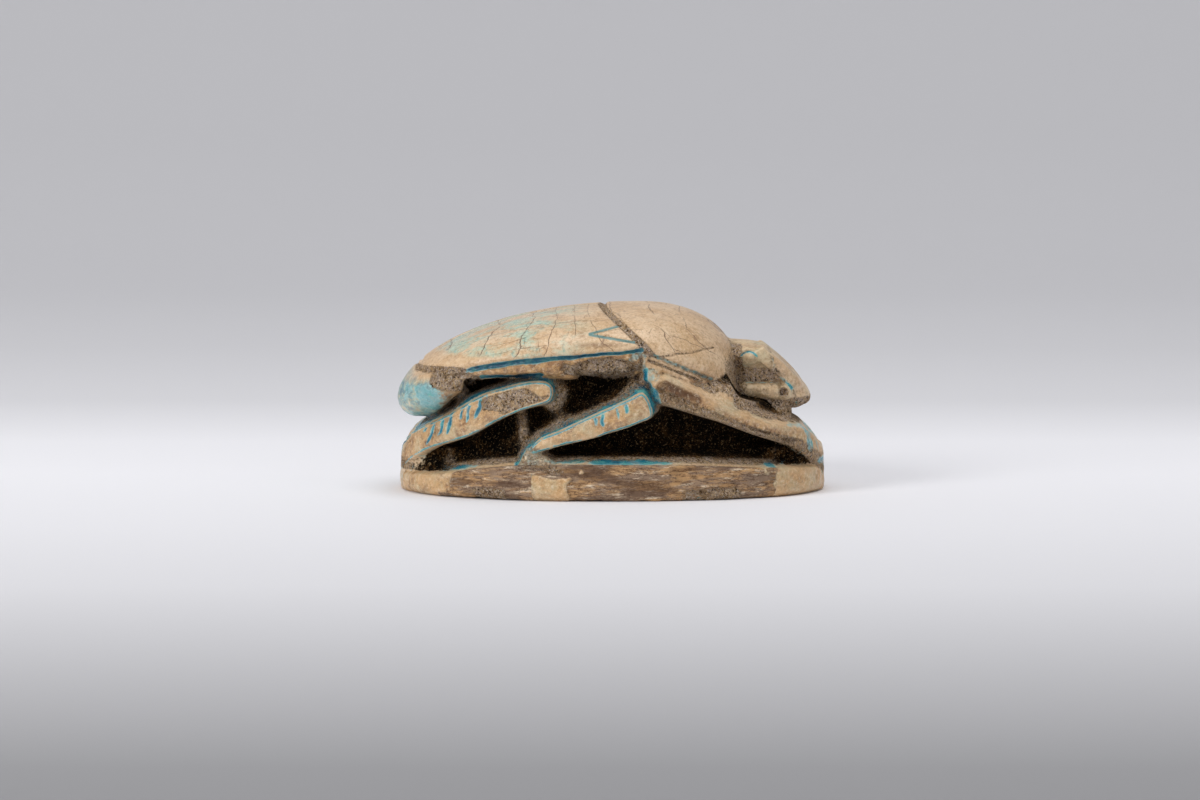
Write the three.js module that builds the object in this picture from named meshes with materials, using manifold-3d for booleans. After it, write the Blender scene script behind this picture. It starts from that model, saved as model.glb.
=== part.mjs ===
// Scarab amulet: a beetle carved in one piece of steatite with the oval base it sits on.
//
// Millimetres, +Z up. The head looks along +X and the origin is the middle of the flat
// underside. The beetle is built as a carver would block it out: an oval base, a narrow core
// that rises from it, a domed body over the core, a head with its shovel-shaped clypeus, and
// three pairs of legs that stand out from the core like ribs, with deep hollows between them.
// The seams of the wing cases and the thorax are then cut in, and a hole for the string is
// drilled from end to end.
import * as THREE from "three";
import { mergeVertices } from "three/addons/utils/BufferGeometryUtils.js";
import Module from "manifold-3d";

const wasm = await Module();
wasm.setup();

// Driving dimensions
const LENGTH = 22;
const WIDTH = 15.4;
const HEIGHT = 9.6;
const FRONT_X = LENGTH / 2;
const TAIL_X = -LENGTH / 2;

const BASE = { rear: -10.85, height: 1.85, power: 2.15, footRound: 0.3, topRound: 0.16, slope: 0.25 };
const CORE = { rear: -8.3, front: 8.5, halfWidth: 4.6, top: 7.0 };
const BODY = { peakX: 1.5, frontX: 6.5, frontZ: 6.0, tailZ: 4.75, halfWidth: 6.8, widestX: -2 };
const ELYTRA_REAR_X = -9.75;
const STRING_HOLE = { radius: 0.7, z: 2.95 };
const FLANK_TAPER = 0.016; // how much the flanks lean in for each millimetre above the base
const LEG_ROOT = 3.7; // how far a leg reaches inwards to the core
const WELD = 0.002; // corners closer than this become one

// Shape functions

const power = (value, exponent) => Math.sign(value) * Math.abs(value) ** exponent;

// A smooth function of x through a few [x, value] points, level at its ends and never overshooting.
function profile(points) {
  return (x) => {
    if (x <= points[0][0]) return points[0][1];
    const i = points.findIndex((point) => x < point[0]);
    if (i < 0) return points[points.length - 1][1];
    const slope = (k) => {
      if (k <= 0 || k >= points.length - 1) return 0;
      const before = (points[k][1] - points[k - 1][1]) / (points[k][0] - points[k - 1][0]);
      const after = (points[k + 1][1] - points[k][1]) / (points[k + 1][0] - points[k][0]);
      return before * after <= 0 ? 0 : (2 * before * after) / (before + after);
    };
    const [x0, y0] = points[i - 1];
    const [x1, y1] = points[i];
    const t = (x - x0) / (x1 - x0);
    return (
      y0 * (1 + 2 * t) * (1 - t) ** 2 +
      y1 * t * t * (3 - 2 * t) +
      (x1 - x0) * (slope(i - 1) * t * (1 - t) ** 2 - slope(i) * t * t * (1 - t))
    );
  };
}

// Side view of the body: the back's outline, the level of its widest line, and its lower edge.
function bodyTop(x) {
  if (x < BODY.peakX) {
    const t = Math.min(1, (BODY.peakX - x) / (BODY.peakX - TAIL_X));
    return BODY.tailZ + (HEIGHT - BODY.tailZ) * (1 - t ** 2.05) ** (1 / 1.8);
  }
  const t = Math.min(1, (x - BODY.peakX) / (BODY.frontX - BODY.peakX));
  return BODY.frontZ + (HEIGHT - BODY.frontZ) * (1 - t ** 2.2) ** 0.45;
}
const bodyWaist = profile([
  [-11, 4.75], [-9, 5.75], [-6.5, 6.75], [-2, 7.25], [1.4, 7.45], [4.3, 6.35], [6.5, 5.7],
]);
const bodyUnderEdge = profile([
  [-8.6, 3.7], [-7, 5.1], [-5.6, 6.5], [-2, 6.8], [1.3, 6.95], [4.3, 5.75], [6.5, 5.0],
]);
const TAIL_CORNER = 0.95;
function bodyUnder(x) {
  const t = Math.max(0, (TAIL_X + TAIL_CORNER - x) / TAIL_CORNER);
  return bodyUnderEdge(x) + (BODY.tailZ - 3.7) * (1 - Math.sqrt(1 - Math.min(1, t) ** 2));
}
// Top view of the body: half its width at x.
function bodyHalf(x) {
  const t = x < BODY.widestX ? (BODY.widestX - x) / (BODY.widestX - TAIL_X) : (x - BODY.widestX) / 8.6;
  const outline = x < BODY.widestX ? [2.3, 2.3] : [3, 2.2];
  return BODY.halfWidth * (1 - Math.min(1, t) ** outline[0]) ** (1 / outline[1]);
}
const underSquareness = profile([[-9.5, 2.2], [-6, 5]]);
const DOME_POWER = 2.25;

// The body's surface: angle 0 is its widest line on the -Y side, PI/2 the ridge of the back, and
// angles over PI the underside.
function bodyPoint(x, angle) {
  const waist = bodyWaist(x);
  const above = Math.sin(angle) >= 0;
  const round = above ? DOME_POWER : underSquareness(x);
  const reach = above ? bodyTop(x) - waist : waist - bodyUnder(x);
  return new THREE.Vector3(
    x,
    -bodyHalf(x) * power(Math.cos(angle), 2 / round),
    waist + reach * power(Math.sin(angle), 2 / round),
  );
}

// The angle on the body at which the near flank has height z.
function bodyAngleAt(x, z) {
  const share = (z - bodyWaist(x)) / (bodyTop(x) - bodyWaist(x));
  return Math.asin(Math.min(1, Math.max(0, share)) ** (DOME_POWER / 2));
}

// A point of the amulet's oval flank, by its x, its height and how far it lies inside the outline.
function flankPoint(x, z, inset, side) {
  const lean = 1 - FLANK_TAPER * Math.max(0, z - BASE.height);
  const reach = (x < 0 ? -BASE.rear : FRONT_X) * lean;
  const turn = Math.acos(power(THREE.MathUtils.clamp(x / reach, -1, 1), BASE.power / 2));
  const y = (WIDTH / 2) * lean * Math.sin(turn) ** (2 / BASE.power);
  const outwards = new THREE.Vector2(x * (WIDTH / LENGTH) ** 2, y).normalize();
  return new THREE.Vector3(x - outwards.x * inset, side * (y - outwards.y * inset), z);
}

// Solids

// A closed mesh through rings of equally many points, with both ends filled by fans.
function skin(rings) {
  const count = rings[0].length;
  const points = rings.flat();
  const triangles = [];
  for (let r = 0; r + 1 < rings.length; r++)
    for (let i = 0; i < count; i++) {
      const a = r * count + i;
      const b = r * count + ((i + 1) % count);
      triangles.push(a, b, b + count, a, b + count, a + count);
    }
  const last = (rings.length - 1) * count;
  for (const [first, ring, forward] of [[0, rings[0], false], [last, rings.at(-1), true]]) {
    const centre = ring.reduce((sum, p) => sum.add(p), new THREE.Vector3()).divideScalar(count);
    points.push(centre);
    for (let i = 0; i < count; i++) {
      const a = first + i;
      const b = first + ((i + 1) % count);
      triangles.push(...(forward ? [a, b, points.length - 1] : [b, a, points.length - 1]));
    }
  }
  return new THREE.BufferGeometry().setFromPoints(points).setIndex(triangles);
}

// A three.js geometry as a manifold-3d solid, with its faces turned outwards.
function solid(geometry) {
  const bare = geometry.clone();
  bare.deleteAttribute("normal");
  bare.deleteAttribute("uv");
  const merged = mergeVertices(bare, 1e-4);
  const corners = Array.from(merged.index.array);
  const point = (i) => new THREE.Vector3().fromBufferAttribute(merged.attributes.position, i);
  let sixVolumes = 0;
  for (let i = 0; i < corners.length; i += 3)
    sixVolumes += point(corners[i]).dot(point(corners[i + 1]).cross(point(corners[i + 2])));
  if (sixVolumes < 0) corners.reverse();
  return new wasm.Manifold(
    new wasm.Mesh({
      numProp: 3,
      vertProperties: new Float32Array(merged.attributes.position.array),
      triVerts: new Uint32Array(corners),
    }),
  );
}

const steps = (count) => Array.from({ length: count + 1 }, (_, i) => i / count);

// An oval ring at height z, from rear to front, rounded by a power.
function ovalRing(rear, front, halfWidth, z, roundness, count) {
  return steps(count).slice(0, -1).map((t) => {
    const angle = t * 2 * Math.PI;
    const along = power(Math.cos(angle), 2 / roundness);
    return new THREE.Vector3(
      along * (along < 0 ? -rear : front),
      halfWidth * power(Math.sin(angle), 2 / roundness),
      z,
    );
  });
}

// The base is an oval slab with soft edges and a top that rises a little towards the core.
function base() {
  const ring = (inset, z) =>
    ovalRing(BASE.rear + inset, FRONT_X - inset, WIDTH / 2 - inset, z, BASE.power, 64);
  return solid(skin([
    ring(BASE.footRound, 0),
    ring(0.3 * BASE.footRound, 0.3 * BASE.footRound),
    ring(0, BASE.footRound + 0.1),
    ring(0, BASE.height - BASE.topRound),
    ring(BASE.topRound, BASE.height),
    ring(3, BASE.height + BASE.slope),
  ]));
}

function core() {
  const ring = (z, inset, halfWidth) =>
    ovalRing(CORE.rear + inset, CORE.front - inset, halfWidth, z, 2.4, 40);
  return solid(skin([
    ring(1, -0.3, CORE.halfWidth + 0.4),
    ring(2.6, 0, CORE.halfWidth),
    ring(4.6, 0.4, CORE.halfWidth - 0.2),
    ring(CORE.top, 1.2, CORE.halfWidth),
  ]));
}

function body() {
  const topSteps = 20;
  const underSteps = 10;
  const angles = [
    ...steps(topSteps).map((t) => t * Math.PI),
    ...steps(underSteps).slice(1, -1).map((t) => (1 + t) * Math.PI),
  ];
  const reach = BODY.frontX - TAIL_X;
  const stations = steps(30).map((t) => TAIL_X + (reach * (1 - Math.cos(Math.PI * t))) / 2);
  stations[0] = TAIL_X + 0.002;
  return solid(skin(stations.map((x) => angles.map((angle) => bodyPoint(x, angle)))));
}

// Head: a boxy wedge behind, with the eyes and the cheeks at its sides.
const headHalf = profile([[5.4, 2.7], [7.0, 2.95], [8.4, 2.7], [9.8, 1.7]]);
const headTop = profile([[5.4, 7.2], [6.7, 7.62], [8.1, 7.3], [9.8, 5.0]]);
const headUnder = profile([[5.4, 4.2], [7.5, 4.0], [9.8, 4.05]]);

function head() {
  const boxiness = 3;
  return solid(skin([5.4, 6.2, 6.9, 7.6, 8.2, 8.8, 9.3, 9.8].map((x) => {
    const middle = (headTop(x) + headUnder(x)) / 2;
    return ovalRing(-headHalf(x), headHalf(x), headTop(x) - middle, 0, boxiness, 20)
      .map((p) => new THREE.Vector3(x, p.x, middle + p.y));
  })));
}

// The clypeus is a fan-shaped plate that slopes down to the front, with a notched rim.
const CLYPEUS = { x: 8.0, z: 7.42, slope: 0.945, length: 3.72, halfWidth: 2.95, thickness: 0.8, notch: 0.2 };

function clypeus() {
  const teeth = 5;
  const rim = steps(40).map((t) => {
    const angle = Math.PI * (t - 0.5);
    const notch = CLYPEUS.notch * Math.max(0, Math.cos(teeth * 2 * angle)) * Math.cos(angle) ** 2;
    return new THREE.Vector2(
      (CLYPEUS.length - notch) * Math.cos(angle) ** 0.8,
      (CLYPEUS.halfWidth - notch) * Math.sin(angle),
    );
  });
  const geometry = new THREE.ExtrudeGeometry(new THREE.Shape(rim), {
    depth: CLYPEUS.thickness - 0.3,
    bevelEnabled: true,
    bevelSegments: 1,
    bevelSize: 0.12,
    bevelThickness: 0.15,
    bevelOffset: -0.12,
  });
  geometry.translate(0, 0, -CLYPEUS.thickness + 0.15);
  geometry.rotateY(CLYPEUS.slope);
  geometry.translate(CLYPEUS.x, 0, CLYPEUS.z);
  return solid(geometry);
}

function ellipsoid(centre, radii, tilt) {
  const geometry = new THREE.SphereGeometry(1, 14, 10);
  geometry.scale(radii[0], radii[1], radii[2]);
  geometry.rotateY(tilt);
  geometry.translate(...centre);
  return solid(geometry);
}

const eye = (side) => ellipsoid([7.25, side * 2.75, 6.75], [0.95, 0.55, 0.6], 0.2);
const cheek = (side) => ellipsoid([7.75, side * 2.4, 4.95], [1.3, 0.8, 0.5], 0);
const jaw = (side) => ellipsoid([8.95, side * 2.25, 4.95], [0.55, 0.5, 0.5], 0);

// A leg is a rib on the flank. Its stations are [x, z, half its breadth] from knee to foot.
function leg(stations, side, { inset = 0.15, root = LEG_ROOT, shelf = 0, samples = 10 } = {}) {
  const line = new THREE.CatmullRomCurve3(stations.map((s) => new THREE.Vector3(...s)));
  return solid(skin(steps(samples).map((t) => {
    const { x, y: z, z: half } = line.getPoint(t);
    const ahead = line.getTangent(t);
    const up = new THREE.Vector2(-ahead.y, ahead.x).normalize();
    if (up.y < 0) up.negate();
    const round = Math.sqrt(Math.min(1, 0.3 + 8 * t));
    const at = (share, depth, lift = 0) =>
      flankPoint(x + up.x * share * half * round, z + up.y * share * half * round + lift, depth, side);
    return [
      at(1, root, shelf),
      at(1, inset + 0.3),
      at(0.55, inset),
      at(-0.55, inset),
      at(-1, inset + 0.3),
      at(-1, root),
    ];
  })));
}

const HIND_LEG = [
  [-3.2, 5.4, 0.62], [-5.0, 4.95, 0.72], [-6.5, 4.35, 0.76],
  [-7.95, 3.66, 0.76], [-9.45, 2.9, 0.76], [-10.64, 2.02, 0.58],
];
const MIDDLE_LEG = [
  [2.05, 5.0, 0.55], [0.9, 4.55, 0.6], [-0.6, 3.98, 0.6],
  [-2.1, 3.36, 0.58], [-3.4, 2.84, 0.5], [-4.2, 2.5, 0.42],
];
const FRONT_LEG = [
  [2.35, 5.45, 0.62], [3.9, 5.02, 0.68], [5.37, 4.42, 0.68],
  [6.87, 3.85, 0.64], [8.3, 3.32, 0.66], [9.76, 2.8, 0.72], [10.75, 2.1, 0.7],
];
const MIDDLE_FOOT = [[-4.15, 2.75, 0.4], [-4.35, 1.4, 0.62]];
const THIGH = [[2.1, 7.35, 0.4], [2.35, 5.6, 0.42]];
const TARSUS = [[-4.85, 4.6, 0.28], [-4.6, 2.7, 0.3]];

const legs = (side) => [
  leg(HIND_LEG, side),
  leg(MIDDLE_LEG, side),
  leg(FRONT_LEG, side, { shelf: 0.45 }),
  leg(MIDDLE_FOOT, side, { inset: 0.25, samples: 3 }),
  leg(THIGH, side, { inset: 0.45, samples: 3 }),
  leg(TARSUS, side, { inset: 0.7, samples: 3 }),
];

// Cuts

// A wedge-shaped cutter that follows points of a surface, each with the surface's normal.
function groove(path, width, depth) {
  const clear = 0.35;
  return solid(skin(path.map(({ point, normal }, i) => {
    const ahead = path[Math.min(i + 1, path.length - 1)].point.clone()
      .sub(path[Math.max(i - 1, 0)].point).normalize();
    const across = new THREE.Vector3().crossVectors(normal, ahead).normalize();
    const at = (sideways, out) =>
      point.clone().addScaledVector(across, sideways * width).addScaledVector(normal, out);
    return [at(-0.75, clear), at(0.75, clear), at(0.18, -depth), at(-0.18, -depth)];
  })));
}

// A place on the body's surface with its normal, from x and the angle of bodyPoint.
function onBody(x, angle, side = 1) {
  const step = 0.02;
  const place = (dx, turn) => {
    const p = bodyPoint(x + dx, angle + turn);
    p.y *= side;
    return p;
  };
  const alongX = place(step, 0).sub(place(-step, 0));
  const alongTurn = place(0, step).sub(place(0, -step));
  const normal = new THREE.Vector3().crossVectors(alongTurn, alongX).normalize();
  const point = place(0, 0);
  const outwards = point.clone().sub(new THREE.Vector3(x, 0, bodyWaist(x) - 3));
  return { point, normal: normal.dot(outwards) < 0 ? normal.negate() : normal };
}

const lineOnBody = (from, to, count, side) =>
  steps(count).map((t) => {
    const x = from[0] + (to[0] - from[0]) * t;
    const z = from[1] + (to[1] - from[1]) * t;
    return onBody(x, bodyAngleAt(x, z), side);
  });

const seamHeight = profile([[-9.75, 6.3], [-8, 6.5], [-5, 7.0], [-1, 7.45], [1.9, 7.72]]);

function seams() {
  const cuts = [];
  // between thorax and wing cases, bowed backwards over the ridge of the back
  cuts.push(groove(
    steps(24).map((t) => {
      const angle = 0.04 + (Math.PI - 0.08) * t;
      return onBody(2.05 - 2.5 * Math.sin(angle), angle);
    }),
    0.42,
    0.3,
  ));
  // between the two wing cases
  cuts.push(groove(
    steps(10).map((t) => onBody(-0.6 + t * (ELYTRA_REAR_X + 0.6), Math.PI / 2)),
    0.26,
    0.2,
  ));
  // across the tail, where the wing cases end
  const tailAngle = bodyAngleAt(ELYTRA_REAR_X, seamHeight(ELYTRA_REAR_X));
  cuts.push(groove(
    steps(8).map((t) => onBody(ELYTRA_REAR_X, tailAngle + (Math.PI - 2 * tailAngle) * t)),
    0.28,
    0.22,
  ));
  for (const side of [1, -1]) {
    // along the lower edge of each wing case
    cuts.push(groove(
      steps(16).map((t) => {
        const x = 1.9 + t * (ELYTRA_REAR_X - 1.9);
        return onBody(x, bodyAngleAt(x, seamHeight(x)), side);
      }),
      0.3,
      0.26,
    ));
    // along the lower edge of the thorax
    cuts.push(groove(lineOnBody([1.75, 7.6], [5.2, 6.3], 6, side), 0.36, 0.28));
    // the side line of the thorax
    cuts.push(groove(lineOnBody([2.4, 7.45], [5.2, 7.5], 5, side), 0.18, 0.16));
    // the V-shaped mark on the shoulder of the wing case
    cuts.push(groove(lineOnBody([0.45, 8.72], [-1.07, 8.38], 3, side), 0.17, 0.15));
    cuts.push(groove(lineOnBody([-1.07, 8.38], [1.35, 7.98], 4, side), 0.17, 0.15));
  }
  return cuts;
}

function stringHole() {
  const geometry = new THREE.CylinderGeometry(STRING_HOLE.radius, STRING_HOLE.radius, LENGTH + 4, 16);
  geometry.rotateZ(Math.PI / 2);
  geometry.translate(0, 0, STRING_HOLE.z);
  return solid(geometry);
}

// The amulet

function scarab() {
  const added = [
    core(), body(), head(), clypeus(), eye(-1), eye(1), cheek(-1), cheek(1), jaw(-1), jaw(1),
    ...legs(-1), ...legs(1),
  ];
  const blocked = added.reduce((whole, piece) => whole.add(piece), base());
  return [...seams(), stringHole()].reduce((whole, cut) => whole.subtract(cut), blocked);
}

// A manifold-3d solid back as a three.js geometry, with corners that all but touch made one.
function geometryOf(manifold) {
  const mesh = manifold.getMesh();
  const positions = new Float32Array(mesh.numVert * 3);
  for (let i = 0; i < mesh.numVert; i++)
    positions.set(mesh.vertProperties.subarray(i * mesh.numProp, i * mesh.numProp + 3), i * 3);
  const welded = mergeVertices(
    new THREE.BufferGeometry()
      .setAttribute("position", new THREE.BufferAttribute(positions, 3))
      .setIndex(new THREE.BufferAttribute(mesh.triVerts, 1)),
    WELD,
  );
  const corners = Array.from(welded.index.array);
  const kept = [];
  for (let i = 0; i < corners.length; i += 3) {
    const [a, b, c] = corners.slice(i, i + 3);
    if (a !== b && b !== c && c !== a) kept.push(a, b, c);
  }
  welded.setIndex(kept);
  welded.computeVertexNormals();
  return welded;
}

const glazedSteatite = new THREE.MeshStandardMaterial({ color: 0xc2a883, roughness: 0.5, metalness: 0 });

const amulet = new THREE.Group();
const beetle = new THREE.Mesh(geometryOf(scarab()), glazedSteatite);
beetle.name = "scarab";
amulet.add(beetle);

export default amulet;
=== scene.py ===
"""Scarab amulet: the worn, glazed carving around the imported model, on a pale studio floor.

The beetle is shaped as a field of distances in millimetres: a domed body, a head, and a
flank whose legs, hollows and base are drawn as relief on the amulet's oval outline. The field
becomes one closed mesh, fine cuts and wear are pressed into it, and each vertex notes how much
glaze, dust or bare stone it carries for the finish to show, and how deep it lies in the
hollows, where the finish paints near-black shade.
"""

from __future__ import annotations

import logging
import math
from dataclasses import dataclass, field
from enum import Enum

import bpy
import numpy as np
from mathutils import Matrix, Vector


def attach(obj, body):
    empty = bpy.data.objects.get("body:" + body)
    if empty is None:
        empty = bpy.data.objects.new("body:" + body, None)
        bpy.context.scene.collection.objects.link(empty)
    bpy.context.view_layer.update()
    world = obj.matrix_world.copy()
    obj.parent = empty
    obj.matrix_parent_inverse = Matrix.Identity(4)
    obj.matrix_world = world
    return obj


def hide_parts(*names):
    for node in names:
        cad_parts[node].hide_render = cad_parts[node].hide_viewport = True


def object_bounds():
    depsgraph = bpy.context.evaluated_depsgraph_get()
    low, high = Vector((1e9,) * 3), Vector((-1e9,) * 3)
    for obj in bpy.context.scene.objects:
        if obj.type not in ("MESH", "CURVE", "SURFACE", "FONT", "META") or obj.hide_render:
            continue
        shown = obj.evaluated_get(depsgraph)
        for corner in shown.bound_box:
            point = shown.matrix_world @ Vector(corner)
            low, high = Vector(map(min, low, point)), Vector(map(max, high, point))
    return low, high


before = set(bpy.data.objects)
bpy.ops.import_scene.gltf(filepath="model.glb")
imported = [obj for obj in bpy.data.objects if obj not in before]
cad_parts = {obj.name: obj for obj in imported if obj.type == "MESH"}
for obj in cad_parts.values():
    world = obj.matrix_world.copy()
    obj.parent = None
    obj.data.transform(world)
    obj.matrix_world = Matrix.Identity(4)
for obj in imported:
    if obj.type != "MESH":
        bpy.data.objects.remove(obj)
CAD_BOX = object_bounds()

MM = 0.001
NODE = "scarab"
SLOT = "glazed_steatite"
PIECE = "scarab_carving"
FINE_STEP = 0.09
log = logging.getLogger("scarab")

Array = np.ndarray
Station = tuple[float, float]


# Curves and fields


def ease(low: float, high: float, value: Array) -> Array:
    """Rise smoothly from 0 at low to 1 at high."""
    t = np.clip((value - low) / (high - low), 0.0, 1.0)
    return t * t * (3.0 - 2.0 * t)


def bump(value: Array, centre: float, width: float) -> Array:
    """Give a bell of height 1 around centre."""
    return np.exp(-(((value - centre) / width) ** 2))


def spot(x: Array, z: Array, at: Station, radii: Station) -> Array:
    """Give a round bell of height 1 around a place on the side view."""
    return np.exp(-(((x - at[0]) / radii[0]) ** 2) - ((z - at[1]) / radii[1]) ** 2)


def smooth_min(a: Array, b: Array, blend: float) -> Array:
    """Take the smaller of two fields, with a fillet where they meet."""
    h = np.maximum(blend - np.abs(a - b), 0.0) / blend
    return np.minimum(a, b) - h * h * blend * 0.25


class Profile:
    """A smooth curve through a few stations that never overshoots them."""

    def __init__(self, stations: list[Station]) -> None:
        """Work out the slopes at the stations.

        Args:
            stations: Pairs of place and value, in rising order of place.
        """
        self.x, self.y = np.array(stations, float).T
        steps = np.diff(self.y) / np.diff(self.x)
        self.slope = np.zeros(len(self.x))
        before, after = steps[:-1], steps[1:]
        total = np.where(before + after == 0.0, 1.0, before + after)
        self.slope[1:-1] = np.where(before * after > 0.0, 2.0 * before * after / total, 0.0)

    def __call__(self, x: Array) -> Array:
        """Give the curve's value at each place."""
        x = np.clip(x, self.x[0], self.x[-1])
        i = np.clip(np.searchsorted(self.x, x) - 1, 0, len(self.x) - 2)
        span = self.x[i + 1] - self.x[i]
        t = (x - self.x[i]) / span
        return (
            self.y[i] * (1 + 2 * t) * (1 - t) ** 2
            + self.y[i + 1] * t * t * (3 - 2 * t)
            + span * (self.slope[i] * t * (1 - t) ** 2 - self.slope[i + 1] * t * t * (1 - t))
        )


class Noise:
    """Seeded lattice noise in space, between -1 and 1, that repeats only far outside the part."""

    SIZE = 64

    def __init__(self, seed: int) -> None:
        """Fill the lattice from the seed."""
        shape = (self.SIZE, self.SIZE, self.SIZE)
        self.lattice = np.random.default_rng(seed).uniform(-1.0, 1.0, shape)

    def value(self, x: Array, y: Array, z: Array) -> Array:
        """Give the noise at places measured in lattice cells."""
        parts = []
        for axis in (x, y, z):
            low = np.floor(axis).astype(np.int64)
            t = axis - low
            parts.append((low % self.SIZE, (low + 1) % self.SIZE, t * t * (3.0 - 2.0 * t)))
        (x0, x1, u), (y0, y1, v), (z0, z1, w) = parts
        cells = self.lattice
        near = (cells[x0, y0, z0] * (1 - u) + cells[x1, y0, z0] * u) * (1 - v)
        near += (cells[x0, y1, z0] * (1 - u) + cells[x1, y1, z0] * u) * v
        far = (cells[x0, y0, z1] * (1 - u) + cells[x1, y0, z1] * u) * (1 - v)
        far += (cells[x0, y1, z1] * (1 - u) + cells[x1, y1, z1] * u) * v
        return near * (1 - w) + far * w

    def rough(self, x: Array, y: Array, z: Array, size: float, octaves: int = 3) -> Array:
        """Sum octaves of noise.

        Args:
            x: Places along X, in millimetres.
            y: Places along Y.
            z: Places along Z.
            size: Size of the largest lumps, in millimetres.
            octaves: How many times the lumps halve in size.

        Returns:
            The summed noise, mostly between -1 and 1.
        """
        total, weight, reach = 0.0, 1.0, 0.0
        for octave in range(octaves):
            scale = 2.0**octave / size
            shift = 11.3 * (octave + 1)
            total = total + weight * self.value(x * scale + shift, y * scale + shift, z * scale + shift)
            reach += weight
            weight *= 0.55
        return total / reach * 1.6


def outline_distance(u: Array, v: Array, outline: Array) -> Array:
    """Measure the distance to a closed outline on a plane.

    Args:
        u: First coordinate of each place.
        v: Second coordinate of each place.
        outline: Corners of the outline, one a row.

    Returns:
        The distance, negative inside the outline.
    """
    nearest = np.full(u.shape, 1e9)
    inside = np.zeros(u.shape, bool)
    for (ax, ay), (bx, by) in zip(outline, np.roll(outline, -1, axis=0), strict=True):
        ex, ey = bx - ax, by - ay
        wx, wy = u - ax, v - ay
        t = np.clip((wx * ex + wy * ey) / (ex * ex + ey * ey + 1e-12), 0.0, 1.0)
        nearest = np.minimum(nearest, (wx - t * ex) ** 2 + (wy - t * ey) ** 2)
        if ay != by:
            inside ^= ((ay > v) != (by > v)) & (u < ex * (v - ay) / (by - ay) + ax)
    return np.sqrt(nearest) * np.where(inside, -1.0, 1.0)


def path_distance(u: Array, v: Array, path: list[Station]) -> Array:
    """Measure the distance to an open path on a plane."""
    nearest = np.full(u.shape, 1e9)
    for (ax, ay), (bx, by) in zip(path[:-1], path[1:], strict=True):
        ex, ey = bx - ax, by - ay
        t = np.clip(((u - ax) * ex + (v - ay) * ey) / (ex * ex + ey * ey), 0.0, 1.0)
        nearest = np.minimum(nearest, (u - ax - t * ex) ** 2 + (v - ay - t * ey) ** 2)
    return np.sqrt(nearest)


def rounded_outline(corners: Array, rounds: int = 2) -> Array:
    """Cut the corners of a closed outline so that it runs smoothly."""
    for _ in range(rounds):
        ahead = np.roll(corners, -1, axis=0)
        pair = np.stack([corners * 0.75 + ahead * 0.25, corners * 0.25 + ahead * 0.75], axis=1)
        corners = pair.reshape(-1, 2)
    return corners


class Side(Enum):
    """The beetle's two flanks, by the sign of their Y."""

    RIGHT = -1
    LEFT = 1


# The oval outline that the legs and the base share


@dataclass(frozen=True)
class Envelope:
    """The oval flank of the amulet, which leans in a little above the base."""

    rear: float = 10.85
    front: float = 11.0
    half_width: float = 7.7
    power: float = 2.15
    taper: float = 0.016
    upright: float = 1.85
    across: float = 0.8

    def lean(self, z: Array) -> Array:
        """Give the outline's scale at height z."""
        return 1.0 - self.taper * np.maximum(0.0, z - self.upright)

    def rim(self, turn: Array) -> tuple[Array, Array]:
        """Give the outline's x and y at a turn from the front, 0, to the rear, pi."""
        share = 2.0 / self.power
        cosine = np.cos(turn)
        x = np.sign(cosine) * np.abs(cosine) ** share * np.where(cosine < 0, self.rear, self.front)
        return x, self.half_width * np.abs(np.sin(turn)) ** share

    def arc_table(self) -> tuple[Array, Array]:
        """Tabulate the way round the outline against the turn."""
        turns = np.linspace(0.0, math.pi, 4001)
        x, y = self.rim(turns)
        return turns, np.concatenate([[0.0], np.cumsum(np.hypot(np.diff(x), np.diff(y)))])

    def arc_at(self, x: float) -> float:
        """Give the way round from the front tip to the place at x."""
        turns, arcs = self.arc_table()
        return float(np.interp(-x, -self.rim(turns)[0], arcs))

    def locate(self, x: Array, y: Array) -> tuple[Array, Array, Array]:
        """Find where places lie against the outline.

        Args:
            x: Places along X.
            y: Places along Y.

        Returns:
            The way round from the front tip, the outline's level there, which is 1 on it and
            less inside, and how steeply the level rises for each millimetre outwards.
        """
        reach = np.where(x < 0, self.rear, self.front)
        a, b = np.abs(x) / reach, np.abs(y) / self.half_width
        level = np.maximum((a**self.power + b**self.power) ** (1 / self.power), 1e-3)
        grow_x = level ** (1 - self.power) * a ** (self.power - 1) * np.sign(x) / reach
        grow_y = level ** (1 - self.power) * b ** (self.power - 1) / self.half_width
        steep = np.maximum(np.hypot(grow_x, grow_y), 1e-3)
        inset = np.clip((1.0 - level) / steep, -1.0, 4.0)
        foot_x = x + grow_x / steep * inset
        foot_y = np.maximum(np.abs(y) + grow_y / steep * inset, 0.0)
        foot_reach = np.where(foot_x < 0, self.rear, self.front)
        turn = np.arctan2(
            (foot_y / self.half_width) ** (self.power / 2),
            np.sign(foot_x) * (np.abs(foot_x) / foot_reach) ** (self.power / 2),
        )
        # deep inside, places are read straight across, as the hollows were cut from the side
        cosine = np.sign(x) * np.minimum(a, 1.0) ** (self.power / 2)
        turn += self.across * ease(0.15, 1.3, inset) * (np.arccos(cosine) - turn)
        turns, arcs = self.arc_table()
        return np.interp(turn, turns, arcs), level, steep


# The domed body


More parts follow.
